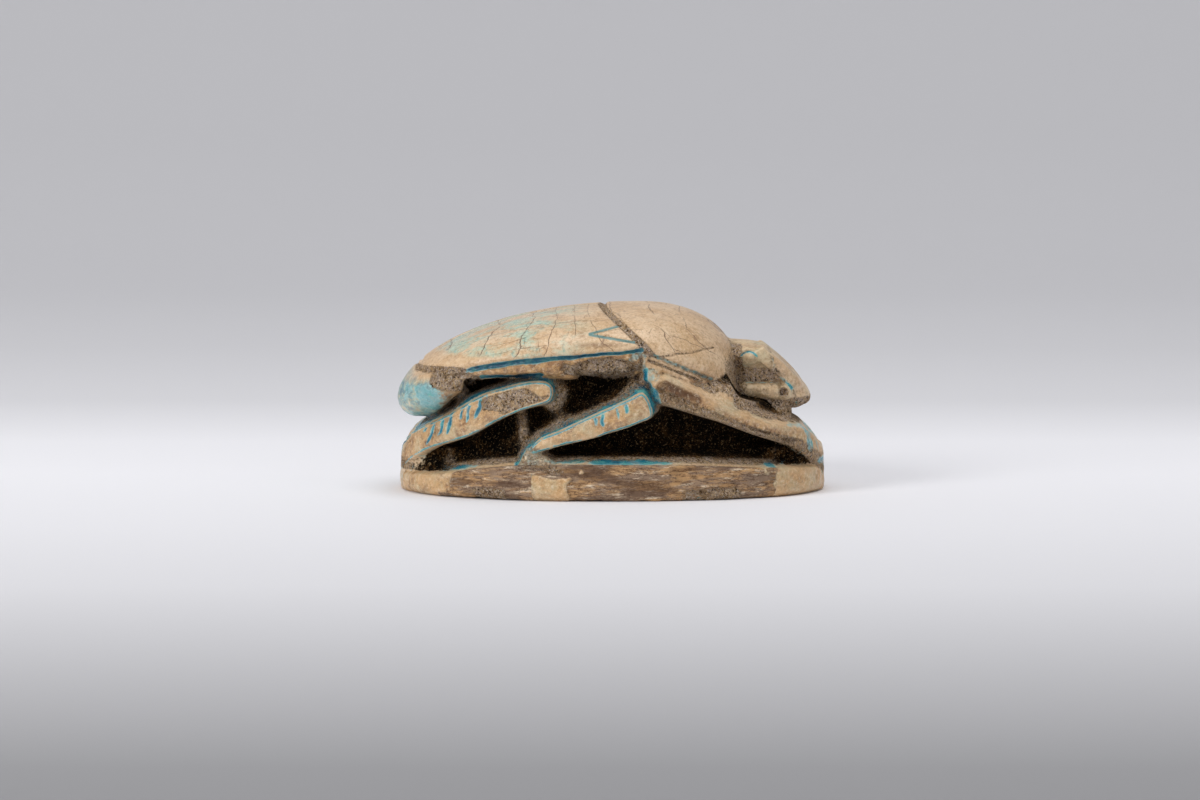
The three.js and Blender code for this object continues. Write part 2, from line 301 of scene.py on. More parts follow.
@dataclass(frozen=True)
class Body:
    """Thorax and wing cases: one dome with a rounded tail."""

    tail: float = -11.0
    peak: float = 1.5
    front: float = 6.5
    front_height: float = 6.0
    tail_height: float = 4.75
    height: float = 9.6
    half_width: float = 6.8
    widest: float = -2.0
    dome: float = 2.25
    corner: float = 0.95

    def top(self, x: Array) -> Array:
        """Give the height of the back's ridge."""
        behind = np.clip((self.peak - x) / (self.peak - self.tail), 0.0, 1.0)
        ahead = np.clip((x - self.peak) / (self.front - self.peak), 0.0, 1.0)
        rear = self.tail_height + (self.height - self.tail_height) * (1 - behind**2.05) ** (1 / 1.8)
        fore = self.front_height + (self.height - self.front_height) * (1 - ahead**2.2) ** 0.45
        return np.where(x < self.peak, rear, fore)

    def waist(self, x: Array) -> Array:
        """Give the height of the body's widest line."""
        return Profile(
            [(-11, 4.75), (-9, 5.75), (-6.5, 6.75), (-2, 7.2), (1.4, 7.35), (4.3, 6.2), (6.5, 5.6)]
        )(x)

    def under(self, x: Array) -> Array:
        """Give the height of the body's lower edge."""
        edge = Profile(
            [
                (-9.2, 3.75), (-8.6, 4.15), (-7.9, 4.95), (-7.1, 5.4), (-6.4, 5.95), (-4.4, 6.05),
                (-2.0, 5.95), (0.6, 5.95), (1.8, 6.4), (3.0, 6.15), (4.3, 5.5), (6.5, 4.65),
            ]
        )(x)  # fmt: skip
        t = np.clip((self.tail + self.corner - x) / self.corner, 0.0, 1.0)
        return edge + (self.tail_height - 3.7) * (1 - np.sqrt(1 - t**2))

    def half(self, x: Array) -> Array:
        """Give half the body's width."""
        behind = np.clip((self.widest - x) / (self.widest - self.tail), 0.0, 1.0)
        ahead = np.clip((x - self.widest) / 8.6, 0.0, 1.0)
        rear = (1 - behind**2.3) ** (1 / 2.3)
        fore = (1 - ahead**3.6) ** (1 / 2.4)
        return self.half_width * np.where(x < self.widest, rear, fore)

    def distance(self, x: Array, y: Array, z: Array, step: float) -> Array:
        """Work out the field of distances to the dome on a grid.

        Args:
            x: Grid places along X.
            y: Grid places along Y.
            z: Grid places along Z.
            step: The grid's step.

        Returns:
            Distances, negative inside, one for each grid place.
        """
        held = np.clip(x, self.tail + 0.01, self.front - 0.01)
        waist, top, under = self.waist(held), self.top(held), self.under(held)
        half = self.half(held)
        square = Profile([(-9.5, 2.2), (-6, 5.0)])(held)
        across = (np.abs(y)[None, :] / half[:, None])[:, :, None]
        rise = z[None, :] - waist[:, None]
        above = rise >= 0
        reach = np.where(above, (top - waist)[:, None], (waist - under)[:, None])
        up = (np.abs(rise) / reach)[:, None, :]
        shape = np.where(above, self.dome, square[:, None])[:, None, :]
        level = (across**shape + up**shape) ** (1.0 / shape) - 1.0
        level = np.clip(level, -1.0, 3.0)
        slopes = np.gradient(level, step)
        steep = np.sqrt(slopes[0] ** 2 + slopes[1] ** 2 + slopes[2] ** 2)
        result = np.clip(level / np.maximum(steep, 0.05), -2.0, 2.0)
        ends = np.where(x == held, -2.0, np.abs(x - held))
        return np.maximum(result, ends[:, None, None])

    def turn(self, x: Array, y: Array, z: Array) -> Array:
        """Give the turn round the dome, from its right edge, 0, over the ridge to the left, pi."""
        waist = self.waist(x)
        up = np.clip((z - waist) / np.maximum(self.top(x) - waist, 0.05), 0.0, 1.0)
        across = np.clip(np.abs(y) / np.maximum(self.half(x), 0.05), 0.0, 1.0)
        angle = np.arctan2(up ** (self.dome / 2), across ** (self.dome / 2))
        return np.where(y < 0, angle, math.pi - angle)


# The head


@dataclass(frozen=True)
class Head:
    """Head with eyes, cheeks and the shovel-shaped clypeus."""

    low: tuple[float, float, float] = (4.9, -4.2, 3.0)
    high: tuple[float, float, float] = (11.1, 4.2, 8.4)
    plate_at: Station = (7.95, 7.47)
    plate_slope: float = 0.814
    plate_length: float = 3.75
    plate_half: float = 2.75
    plate_depth: float = 0.72
    plate_crown: float = 0.16
    plate_end: float = 10.27

    def distance(self, x: Array, y: Array, z: Array) -> Array:
        """Give the distances to the head, negative inside, at places in space."""
        y = np.abs(y)
        half = Profile([(5.0, 2.2), (6.3, 1.95), (7.0, 2.3), (8.4, 2.25), (9.3, 1.7)])(x)
        top = Profile([(5.0, 7.4), (6.2, 7.68), (7.2, 7.62), (8.0, 7.3), (8.8, 6.4), (9.4, 5.4)])(x)
        under = Profile([(5.0, 4.2), (7.0, 3.6), (8.9, 3.5), (9.4, 4.1)])(x)
        middle, tall = (top + under) / 2, (top - under) / 2
        level = ((y / half) ** 3.2 + (np.abs(z - middle) / tall) ** 3.2) ** (1 / 3.2) - 1.0
        result = np.maximum(level * np.minimum(half, tall), x - 9.2)
        brow = self._ball(x, y, z, (7.2, 1.75, 6.93), (1.02, 0.95, 0.58))
        result = smooth_min(result, brow, 0.15)
        # the side of the head is hollowed between eye and cheek, and before the thorax
        trench = self._rod(x, y, z, (6.5, 2.75, 6.02), (8.7, 2.55, 6.0)) - 0.4
        result = -smooth_min(-result, trench, 0.12)
        result = smooth_min(result, self._plate(x, y, z), 0.1)
        eye = self._ball(x, y, z, (7.14, 2.45, 6.98), (0.36, 0.42, 0.25))
        result = smooth_min(result, eye, 0.04)
        lid = np.hypot((x - 7.05) / 1.25, z - 6.9) - 0.44
        lid = np.hypot(lid, (y - 2.58) / 1.5) - 0.085
        lid = np.maximum(lid, 6.95 - z)
        result = smooth_min(result, lid, 0.06)
        cheek = self._rod(x, y, z, (6.85, 2.3, 5.26), (8.3, 2.25, 5.18)) - 0.4
        result = smooth_min(result, cheek, 0.1)
        jaw = self._ball(x, y, z, (8.93, 1.95, 5.07), (0.5, 0.58, 0.5))
        result = smooth_min(result, jaw, 0.08)
        chin = self._ball(x, y, z, (8.55, 1.7, 4.1), (0.72, 0.7, 0.62))
        result = smooth_min(result, chin, 0.2)
        lip = self._ball(x, y, z, (9.35, 0.7, 4.78), (0.78, 1.5, 0.56))
        result = smooth_min(result, lip, 0.15)
        dimple = self._ball(x, y, z, (8.84, 2.55, 5.13), (0.22, 0.4, 0.22))
        return -smooth_min(-result, dimple, 0.05)

    def _plate(self, x: Array, y: Array, z: Array) -> Array:
        """Give the distances to the clypeus, a sloping fan with a notched rim."""
        cosine, sine = math.cos(self.plate_slope), math.sin(self.plate_slope)
        dx, dz = x - self.plate_at[0], z - self.plate_at[1]
        along = dx * cosine - dz * sine
        out = dx * sine + dz * cosine
        turn = np.arctan2(y / self.plate_half, along / self.plate_length)
        notches = 0.07 * np.maximum(0.0, np.cos(10 * turn)) * np.maximum(np.cos(turn), 0.0) ** 2
        level = np.hypot(along / self.plate_length, y / self.plate_half) - 1.0 + notches
        edge = np.maximum(np.maximum(level * 2.6, -along - 0.15), x - self.plate_end)
        arch = np.sin(math.pi * np.clip(along / 3.3, 0.0, 1.0))
        crown = self.plate_crown * arch - 0.12 * (y / self.plate_half) ** 2
        flat = np.abs(out - crown + self.plate_depth / 2) - self.plate_depth / 2
        corner = 0.15
        both = np.hypot(np.maximum(edge + corner, 0.0), np.maximum(flat + corner, 0.0))
        return both + np.minimum(np.maximum(edge, flat) + corner, 0.0) - corner

    @staticmethod
    def _ball(
        x: Array, y: Array, z: Array, at: tuple[float, float, float], radii: tuple[float, float, float]
    ) -> Array:
        """Give the distances to an ellipsoid."""
        scaled = [(axis - c) / r for axis, c, r in zip((x, y, z), at, radii, strict=True)]
        level = np.sqrt(scaled[0] ** 2 + scaled[1] ** 2 + scaled[2] ** 2)
        slope = np.sqrt(sum((s / r) ** 2 for s, r in zip(scaled, radii, strict=True)))
        return level * (level - 1.0) / np.maximum(slope, 1e-3)

    @staticmethod
    def _rod(
        x: Array, y: Array, z: Array, start: tuple[float, float, float], end: tuple[float, float, float]
    ) -> Array:
        """Give the distances to the line between two points."""
        a, b = np.array(start), np.array(end)
        e = b - a
        t = ((x - a[0]) * e[0] + (y - a[1]) * e[1] + (z - a[2]) * e[2]) / (e @ e)
        t = np.clip(t, 0.0, 1.0)
        return np.sqrt(
            (x - a[0] - t * e[0]) ** 2 + (y - a[1] - t * e[1]) ** 2 + (z - a[2] - t * e[2]) ** 2
        )


# The flank: legs, hollows and base, as relief on the envelope


@dataclass(frozen=True)
class Rib:
    """A leg as it shows on the flank: its outline, from foot to knee and back."""

    upper: tuple[Station, ...]
    lower: tuple[Station, ...]
    inset: float = 0.12
    shelf: float = 0.6
    wall: float = 0.22
    rounds: int = 2


HIND_LEG = Rib(
    upper=(
        (-10.79, 2.5), (-10.4, 3.13), (-9.35, 3.77), (-8.9, 3.99), (-8.06, 4.42), (-7.28, 4.97),
        (-6.31, 5.4), (-5.6, 5.61), (-4.7, 5.89), (-3.6, 6.02), (-3.12, 5.85),
    ),
    lower=(
        (-3.0, 5.42), (-3.15, 5.02), (-3.6, 4.86), (-4.86, 4.47), (-6.02, 3.92), (-6.67, 3.56),
        (-7.31, 3.2), (-7.96, 2.93), (-9.25, 2.47), (-9.9, 2.15), (-10.5, 1.55), (-10.85, 0.7),
    ),
    shelf=0.55,
)  # fmt: skip
MIDDLE_LEG = Rib(
    upper=(
        (-4.3, 2.55), (-3.99, 2.85), (-3.54, 3.2), (-2.76, 3.48), (-1.8, 3.93), (-0.83, 4.37),
        (0.14, 4.79), (0.98, 5.16), (1.56, 5.5),
    ),
    lower=(
        (1.86, 5.2), (2.14, 4.5), (2.0, 4.17), (1.37, 3.94), (0.79, 3.7), (-0.18, 3.43),
        (-0.83, 3.2), (-1.8, 2.99), (-2.76, 2.77), (-3.41, 2.55), (-4.1, 2.35),
    ),
    shelf=0.95,
    rounds=1,
)  # fmt: skip
FRONT_LEG = Rib(
    upper=(
        (2.15, 5.4), (2.1, 5.85), (2.3, 6.15), (2.65, 6.27), (3.15, 6.17), (4.04, 5.74),
        (4.78, 5.28), (5.4, 4.92), (6.12, 4.58), (6.75, 4.3), (7.4, 4.05), (8.04, 3.84),
        (8.6, 3.68), (9.24, 3.56), (9.8, 3.5), (10.25, 3.3), (10.65, 2.85), (10.97, 2.1),
    ),
    lower=(
        (10.97, 0.8), (10.7, 1.3), (10.3, 1.9), (9.5, 2.45), (8.5, 2.85), (7.7, 3.12),
        (6.9, 3.42), (6.1, 3.75), (5.4, 4.02), (4.6, 4.25), (3.9, 4.48), (3.2, 4.7),
        (2.7, 4.86), (2.35, 5.05),
    ),
    shelf=1.3,
)  # fmt: skip
MIDDLE_FOOT = Rib(
    upper=((-4.9, 1.5), (-4.72, 2.05), (-4.3, 2.75), (-3.9, 2.75)),
    lower=((-3.6, 2.35), (-2.9, 1.95), (-2.7, 1.5)),
    inset=0.3,
    shelf=0.5,
    rounds=1,
)
THIGH = Rib(
    upper=((1.75, 5.95), (1.75, 6.6), (1.6, 7.3)),
    lower=((2.5, 7.3), (2.5, 6.6), (2.6, 6.0)),
    inset=0.5,
    shelf=0.5,
    wall=0.5,
    rounds=1,
)
TARSUS = Rib(
    upper=((-4.75, 2.5), (-5.0, 4.7)),
    lower=((-4.45, 4.7), (-4.15, 2.5)),
    inset=1.35,
    shelf=0.9,
    wall=0.9,
    rounds=1,
)


class Flank:
    """One side's relief, as maps over the way round the envelope and the height.

    Attributes:
        form: How far the surface lies inside the envelope.
        detail: Extra depth of the fine cuts and the wear.
        glaze: Share of turquoise glaze left on the surface.
        bare: Share of rough stone that has lost its glaze.
        ochre: Share of smooth ochre skin on the base.
        dust: Share of dust that lies on the surface.
        brown: Share of brown, worn and stained skin.
        umber: Share of dark brown colour.
    """

    STEP = 0.03
    FLOOR_DEPTH = 2.7

    def __init__(self, envelope: Envelope, side: Side, noise: Noise) -> None:
        """Draw every map of one side.

        Args:
            envelope: The oval that the relief lies on.
            side: Which flank this is.
            noise: Where the wear comes from.
        """
        self.envelope = envelope
        self.side = side
        turns, arcs = envelope.arc_table()
        self.length = arcs[-1]
        self.arcs = np.arange(0.0, self.length + self.STEP, self.STEP)
        self.heights = np.arange(-0.2, 7.6, self.STEP)
        rim_x, rim_y = envelope.rim(np.interp(self.arcs, arcs, turns))
        self.arc, self.z = np.meshgrid(self.arcs, self.heights, indexing="ij")
        self.x = np.broadcast_to(rim_x[:, None], self.arc.shape)
        self.y = np.broadcast_to(rim_y[:, None] * side.value, self.arc.shape)
        self.noise = noise
        shape = self.arc.shape
        self.detail, self.glaze = np.zeros(shape), np.zeros(shape)
        self.bare, self.ochre, self.dust = np.zeros(shape), np.zeros(shape), np.zeros(shape)
        self.brown, self.umber = np.zeros(shape), np.zeros(shape)
        self.form = self._hollows()
        self._legs()
        self._base()

    def _rough(self, size: float, octaves: int = 3, stretch: float = 1.0) -> Array:
        """Give noise on the flank, with lumps stretched along it."""
        return self.noise.rough(self.x / stretch, self.y / stretch, self.z, size, octaves)

    def _hollows(self) -> Array:
        """Give the depth of the ground between the legs, with dust heaped on it."""
        depth = np.full(self.x.shape, self.FLOOR_DEPTH)
        depth -= 1.45 * spot(self.x, self.z, (-7.9, 5.2), (1.7, 0.75))
        depth -= 0.75 * spot(self.x, self.z, (-7.0, 2.6), (4.0, 1.4))
        depth -= 0.5 * spot(self.x, self.z, (-4.2, 5.9), (1.6, 0.8))
        depth -= 0.9 * spot(self.x, self.z, (-3.3, 4.7), (0.8, 0.7))
        depth += 0.5 * spot(self.x, self.z, (-3.87, 4.15), (0.42, 0.36))
        depth += 0.5 * spot(self.x, self.z, (-7.1, 5.5), (0.3, 0.3))
        depth -= 1.2 * spot(self.x, self.z, (-2.6, 5.3), (0.8, 1.1))
        depth -= 1.0 * spot(self.x, self.z, (1.1, 6.0), (0.8, 0.9))
        depth -= 1.3 * spot(self.x, self.z, (2.2, 4.75), (0.7, 0.8))
        depth -= 1.5 * spot(self.x, self.z, (6.4, 5.3), (2.2, 0.9))
        depth += 0.15 * self._rough(1.3)
        reach = np.where(self.x < 0, self.envelope.rear, self.envelope.front)
        closed = 0.12 + 0.6 * (reach - np.abs(self.x)) + 3.0 * ease(2.3, 3.1, self.z)
        return np.minimum(depth, closed)

    def _outline(self, rib: Rib) -> Array:
        """Give a leg's outline on the map, smoothed."""
        corners = [*rib.upper, *rib.lower]
        return rounded_outline(
            np.array([(self.envelope.arc_at(x), z) for x, z in corners]), rib.rounds
        )

    def _legs(self) -> None:
        """Raise the legs out of the hollows and cut their faces."""
        ground = self.form
        for rib in (TARSUS, THIGH, MIDDLE_FOOT, HIND_LEG, MIDDLE_LEG, FRONT_LEG):
            away = outline_distance(self.arc, self.z, self._outline(rib))
            upwards = ease(-0.2, 0.7, np.gradient(away, self.STEP, axis=1))
            width = rib.wall + (rib.shelf - rib.wall) * upwards
            climb = np.clip(away / width, 0.0, 1.0) ** (1.0 - 0.35 * upwards)
            ends = ease(10.4, 9.4, np.abs(self.x))
            face = (rib.inset + 0.16 * ease(-0.22, 0.0, away) ** 2) * (0.25 + 0.75 * ends)
            self.form = smooth_min(self.form, face + (ground - face) * climb, 0.15)
            self._face(rib, away, upwards)

    def _face(self, rib: Rib, away: Array, upwards: Array) -> None:
        """Cut a leg's rim line and notches, and lay glaze along its edges."""
        on_face = ease(0.02, -0.06, away)
        torn = self._rough(0.7, 4)
        rough = self._rough(0.45, 3)
        if rib in (HIND_LEG, MIDDLE_LEG):
            self.detail += 0.07 * bump(away, -0.15, 0.05) * on_face + 0.05 * rough * on_face
            rim = bump(away + 0.04 * torn, -0.06, 0.06)
            self._lay("glaze", 0.8 * rim * ease(-0.9, -0.1, torn))
            slope = ease(0.85, 0.45, away + 0.15 * torn) * ease(0.0, 0.06, away)
            self._lay("glaze", slope * (0.35 + 0.65 * upwards) * ease(-1.2, -0.4, torn))
            knee = ease(0.5, 0.25, away) * ease(0.0, 0.06, away)
            hind_knee = spot(self.x, self.z, (-3.2, 5.4), (1.3, 0.9))
            knee *= hind_knee + spot(self.x, self.z, (2.1, 4.7), (0.5, 0.8))
            self._lay("glaze", knee)
            low = ease(0.5, 0.2, away) * ease(0.0, 0.06, away) * (1 - upwards)
            self._lay("glaze", low * bump(self.x, -6.6, 1.7) * (rib is HIND_LEG))
            self._lay("dust", 0.52 * slope * upwards * (1 - knee) * ease(0.1, 0.35, away))
            self._lay("ochre", 0.8 * on_face)
            self._lay("brown", on_face * ease(-0.5, 0.5, torn))
            self._notches(rib, away)
            if rib is HIND_LEG:
                worn = spot(self.x, self.z, (-5.15, 5.0), (1.5, 0.5)) + 0.2 * torn
                worn = ease(0.1, 0.35, worn) * ease(-0.1, -0.24, away)
                self._lay("dust", 0.95 * worn)
                self.detail += 0.12 * worn
        elif rib is FRONT_LEG:
            self._front_face(away, upwards, on_face, torn)
        elif rib is MIDDLE_FOOT:
            self._lay("glaze", 0.42 * ease(0.25, -0.1, away + 0.1 * torn))
            self._lay("glaze", 0.9 * bump(away, 0.1, 0.14) * (self.x < -4.0))
            self._lay("dust", 0.5 * ease(0.3, -0.1, away))
        elif rib is TARSUS:
            self._lay("glaze", ease(0.2, -0.1, away + 0.1 * torn) * bump(self.z, 3.6, 0.5))
        else:
            self._lay("glaze", 0.4 * ease(0.25, -0.1, away + 0.2 * torn))
            self._lay("glaze", bump(self.x, 1.75, 0.16) * ease(0.4, 0.1, away))
            self._lay("dust", 0.6 * ease(0.3, -0.1, away) * ease(0.3, -0.4, torn))

    def _front_face(self, away: Array, upwards: Array, on_face: Array, torn: Array) -> None:
        """Dress the front leg: a worn ridge above, a lower brown face, a scoop and a slit."""
        inner = np.clip(-away, 0.0, 2.0)
        ridge = on_face * ease(0.4, 0.1, inner) * upwards
        face = on_face * (1 - ridge) * ease(10.2, 8.8, self.x)
        self.detail += 0.13 * face * ease(0.05, 0.3, inner)
        self.detail += face * (0.08 * self._rough(0.5, 3) + 0.06 * self._rough(0.25, 2))
        self._lay("ochre", 0.7 * on_face)
        self._lay("brown", face * (0.8 + 0.3 * torn))
        self._lay("brown", 0.3 * on_face)
        scoop = path_distance(self.x, self.z, [(2.85, 5.7), (3.5, 5.38), (4.4, 4.98)])
        dip = ease(0.46, 0.18, scoop + 0.04 * torn)
        self.detail += 0.26 * dip
        self._lay("brown", dip)
        # The scoop is darker brown towards its upper part.
        upper = self.z - 5.3 + 0.45 * (self.x - 3.6)
        self._lay("umber", 0.9 * dip * ease(-0.5, 0.4, upper + 0.4 * torn))
        for path in (
            [(8.7, 2.9), (9.2, 2.84), (9.8, 2.76)],
            [(7.3, 3.5), (7.9, 3.35), (8.3, 3.26)],
        ):
            slit = path_distance(self.x, self.z, path)
            cut = ease(0.11, 0.03, slit + 0.05 * torn)
            self.detail += 0.12 * cut
            self._lay("umber", 0.8 * cut)
        below = bump(away + 0.06 * torn, 0.12, 0.15) * (1 - upwards)
        self._lay("glaze", 0.5 * below * ease(-0.5, 0.2, torn))
        self._lay("dust", 0.55 * ease(0.35, 0.0, away) * (1 - upwards))
        tip = ease(9.3, 10.2, self.x)
        self._lay("glaze", 0.6 * ease(0.35, 0.0, away) * tip * ease(-0.2, 0.3, torn))
        self._lay("glaze", 0.5 * bump(away, 0.02, 0.14) * ease(8.6, 9.6, self.x) * upwards)

    def _lay(self, mark: str, share: Array) -> None:
        """Lay a mark on a map where it is stronger than what is there."""
        setattr(self, mark, np.maximum(getattr(self, mark), share))

    def _notches(self, rib: Rib, away: Array) -> None:
        """Cut the bristle notches across a leg's face and fill them with glaze."""
        hind = rib is HIND_LEG
        first, last, lean = (-9.9, -6.3, 0.25) if hind else (-1.0, 1.1, -0.12)
        spread = 0.1 * self._rough(0.6, 2)
        place = (self.x + spread - lean * (self.z - 4.0)) / 0.42
        line = bump(np.abs(place - np.round(place)), 0.0, 0.24 if hind else 0.3)
        strength = self.noise.value(np.round(place) * 1.7, self.y * 0 + 3.1, self.z * 1.1)
        reach = ease(first - 0.3, first + 0.3, self.x) * ease(last + 0.3, last - 0.3, self.x)
        on_face = ease(-0.08, -0.2, away)
        hind_core = [(-10.3, 2.6), (-8.0, 3.8), (-6.0, 4.75)]
        core = Profile(hind_core if hind else [(-3.0, 3.2), (2.0, 4.75)])(self.x)
        on_face *= ease(-0.35, 0.05, self.z - core + 0.25 * strength)
        cut = line * reach * on_face * np.clip(0.8 + 0.8 * strength, 0.0, 1.0)
        self.detail += 0.08 * cut
        self._lay("glaze", cut)

    def _base(self) -> None:
        """Add the slab under the legs, with its eroded band and what is left of its skin."""
        top = Profile(
            [
                (-10.85, 1.0), (-9.0, 1.12), (-7.0, 1.5), (-4.0, 1.78),
                (0.0, 1.82), (4.0, 1.76), (8.0, 1.5), (10.9, 1.35),
            ]
        )(self.x)  # fmt: skip
        slope = 0.28
        ledge = np.clip((self.z - top) / slope, 0.0, 4.0)
        shoulder = 0.14 * ease(-0.2, 0.02, self.z - top) ** 2
        foot = 0.32 * np.clip(1.0 - self.z / 0.36, 0.0, 1.6) ** 2
        self.form = smooth_min(self.form, ledge + shoulder + foot, 0.1)

        band = ease(0.1, -0.05, self.z - top)
        torn = self._rough(0.9, 4, 1.8)
        edge = 0.9 * self._rough(1.0, 4)
        middle = ease(-9.1, -8.5, self.x + edge) * ease(8.5, 7.9, self.x + edge)
        patch = ease(-0.1, 0.12, 0.95 - np.abs(self.x + 3.05) + 0.3 * torn)
        patch *= ease(-0.1, 0.12, 1.2 - self.z + 0.3 * torn)
        lost = middle * (1 - patch) * band
        lost = np.clip(lost - 0.9 * ease(0.5, 0.8, torn) * band, 0.0, 1.0)
        self._lay("bare", lost)
        self._lay("ochre", band * (1 - lost))
        layers = self._rough(0.55, 4, 4.0)
        flakes = np.floor((layers + 1.5) * 5.0) / 5.0 - 1.5
        self.detail += lost * (0.17 + 0.22 * flakes + 0.1 * self._rough(0.3, 3, 2.0))
        self._lay("umber", 0.8 * lost * ease(0.25, 0.6, self._rough(0.5, 4, 5.0)))
        self.detail += band * (1 - lost) * (0.03 * self._rough(0.7, 3) + 0.02 * self._rough(0.25, 2))
        self._lay("brown", 0.8 * (1 - lost) * band * ease(0.0, 0.6, self._rough(0.5, 4)))
        lip = bump(self.z - top, 0.2, 0.24)
        trace = ease(-0.25, 0.3, self._rough(1.3, 4, 2.0))
        zone = 0.3 + 0.7 * np.maximum(bump(self.x, 0.3, 3.2), ease(6.5, 8.5, np.abs(self.x)))
        self._lay("glaze", lip * trace * zone)
        ledge_dust = ease(0.0, 0.2, self.z - top) * (self.z < top + 0.8)
        self._lay("dust", (0.35 + 0.35 * (1 - trace)) * ledge_dust)
        hem = bump(self.z + 0.08 * torn, 0.25, 0.2)
        places = np.maximum(bump(self.x, -6.2, 0.9), bump(self.x, 5.2, 1.6))
        trace = ease(0.0, 0.35, self._rough(0.8, 4, 2.0) + 0.6 * places - 0.2)
        self._lay("glaze", 0.7 * hem * trace * middle)
        low = ease(0.7, 0.45, self.z + 0.1 * torn)
        self._lay("dust", 0.75 * low * middle * ease(-0.1, 0.3, places - 0.3))
        self._lay("dust", 0.8 * spot(self.x, self.z, (-2.9, 1.5), (0.6, 0.25)) * band)

    def sample(self, values: Array, arc: Array, z: Array) -> Array:
        """Read a map at places given by the way round and the height."""
        u = np.clip(arc / self.STEP, 0, values.shape[0] - 1.001)
        v = np.clip((z - self.heights[0]) / self.STEP, 0, values.shape[1] - 1.001)
        i, j = u.astype(np.int64), v.astype(np.int64)
        s, t = u - i, v - j
        low = values[i, j] * (1 - s) + values[i + 1, j] * s
        high = values[i, j + 1] * (1 - s) + values[i + 1, j + 1] * s
        return low * (1 - t) + high * t


# The whole carving


@dataclass
class Grid:
    """The block of space that the carving is worked in."""

    step: float
    low: tuple[float, float, float] = (-11.3, -8.0, -0.25)
    high: tuple[float, float, float] = (11.3, 8.0, 9.9)
    axes: list[Array] = field(init=False)

    def __post_init__(self) -> None:
        """Lay out the places along each axis, with the floor halfway between two."""
        self.axes = []
        for low, high in zip(self.low, self.high, strict=True):
            first = math.floor(low / self.step) + 0.5
            count = math.ceil((high - low) / self.step) + 2
            self.axes.append((first + np.arange(count)) * self.step)

    def sample(self, values: Array, points: Array) -> Array:
        """Read a field at points in space."""
        parts = []
        for axis in range(3):
            t = (points[:, axis] - self.axes[axis][0]) / self.step
            t = np.clip(t, 0.0, values.shape[axis] - 1.001)
            low = t.astype(np.int64)
            parts.append((low, t - low))
        (i, u), (j, v), (k, w) = parts
        total = np.zeros(len(points))
        for di, fu in ((0, 1 - u), (1, u)):
            for dj, fv in ((0, 1 - v), (1, v)):
                for dk, fw in ((0, 1 - w), (1, w)):
                    total += values[i + di, j + dj, k + dk] * fu * fv * fw
        return total

    def normals(self, values: Array, points: Array) -> Array:
        """Give the outward direction of a field of distances at points in space."""
        reach = self.step * 0.75
        result = np.empty_like(points)
        for axis in range(3):
            ahead, behind = points.copy(), points.copy()
            ahead[:, axis] += reach
            behind[:, axis] -= reach
            result[:, axis] = self.sample(values, ahead) - self.sample(values, behind)
        return result / np.maximum(np.linalg.norm(result, axis=1), 1e-9)[:, None]

    def surface(self, values: Array) -> tuple[Array, Array]:
        """Wrap the zero level of a field in a closed mesh of quads.

        Args:
            values: Distances on the grid, negative inside.

        Returns:
            The vertices, and the quads as rows of four vertex numbers.
        """
        inside = values < 0
        count = np.zeros(tuple(n - 1 for n in inside.shape), np.uint8)
        corners = [(a, b, c) for a in (0, 1) for b in (0, 1) for c in (0, 1)]
        for a, b, c in corners:
            count += inside[
                a : a + count.shape[0], b : b + count.shape[1], c : c + count.shape[2]
            ]
        active = (count > 0) & (count < 8)
        number = np.full(active.shape, -1, np.int32)
        cells = np.argwhere(active)
        number[active] = np.arange(len(cells))
        at = {c: values[tuple((cells + c).T)] for c in corners}
        total, hits = np.zeros((len(cells), 3)), np.zeros(len(cells))
        for a in corners:
            for axis in range(3):
                if a[axis]:
                    continue
                b = tuple(v + (i == axis) for i, v in enumerate(a))
                crossed = (at[a] < 0) != (at[b] < 0)
                t = at[a][crossed] / (at[a][crossed] - at[b][crossed])
                place = np.tile(np.array(a, float), (len(t), 1))
                place[:, axis] += t
                total[crossed] += place
                hits[crossed] += 1
        start = np.array([axis[0] for axis in self.axes])
        points = start + self.step * (cells + total / hits[:, None])
        quads = []
        for axis in range(3):
            after = tuple(slice(1, None) if i == axis else slice(1, -1) for i in range(3))
            before = tuple(slice(0, -1) if i == axis else slice(1, -1) for i in range(3))
            starts, ends = inside[before], inside[after]
            offset = np.array([0 if i == axis else 1 for i in range(3)])
            one, two = (axis + 1) % 3, (axis + 2) % 3
            for mask, forward in ((starts & ~ends, True), (~starts & ends, False)):
                base = np.argwhere(mask) + offset
                ring = []
                for back_one, back_two in ((1, 1), (0, 1), (0, 0), (1, 0)):
                    cell = base.copy()
                    cell[:, one] -= back_one
                    cell[:, two] -= back_two
                    ring.append(number[tuple(cell.T)])
                quads.append(np.stack(ring if forward else ring[::-1], axis=1))
        return points, np.concatenate(quads)


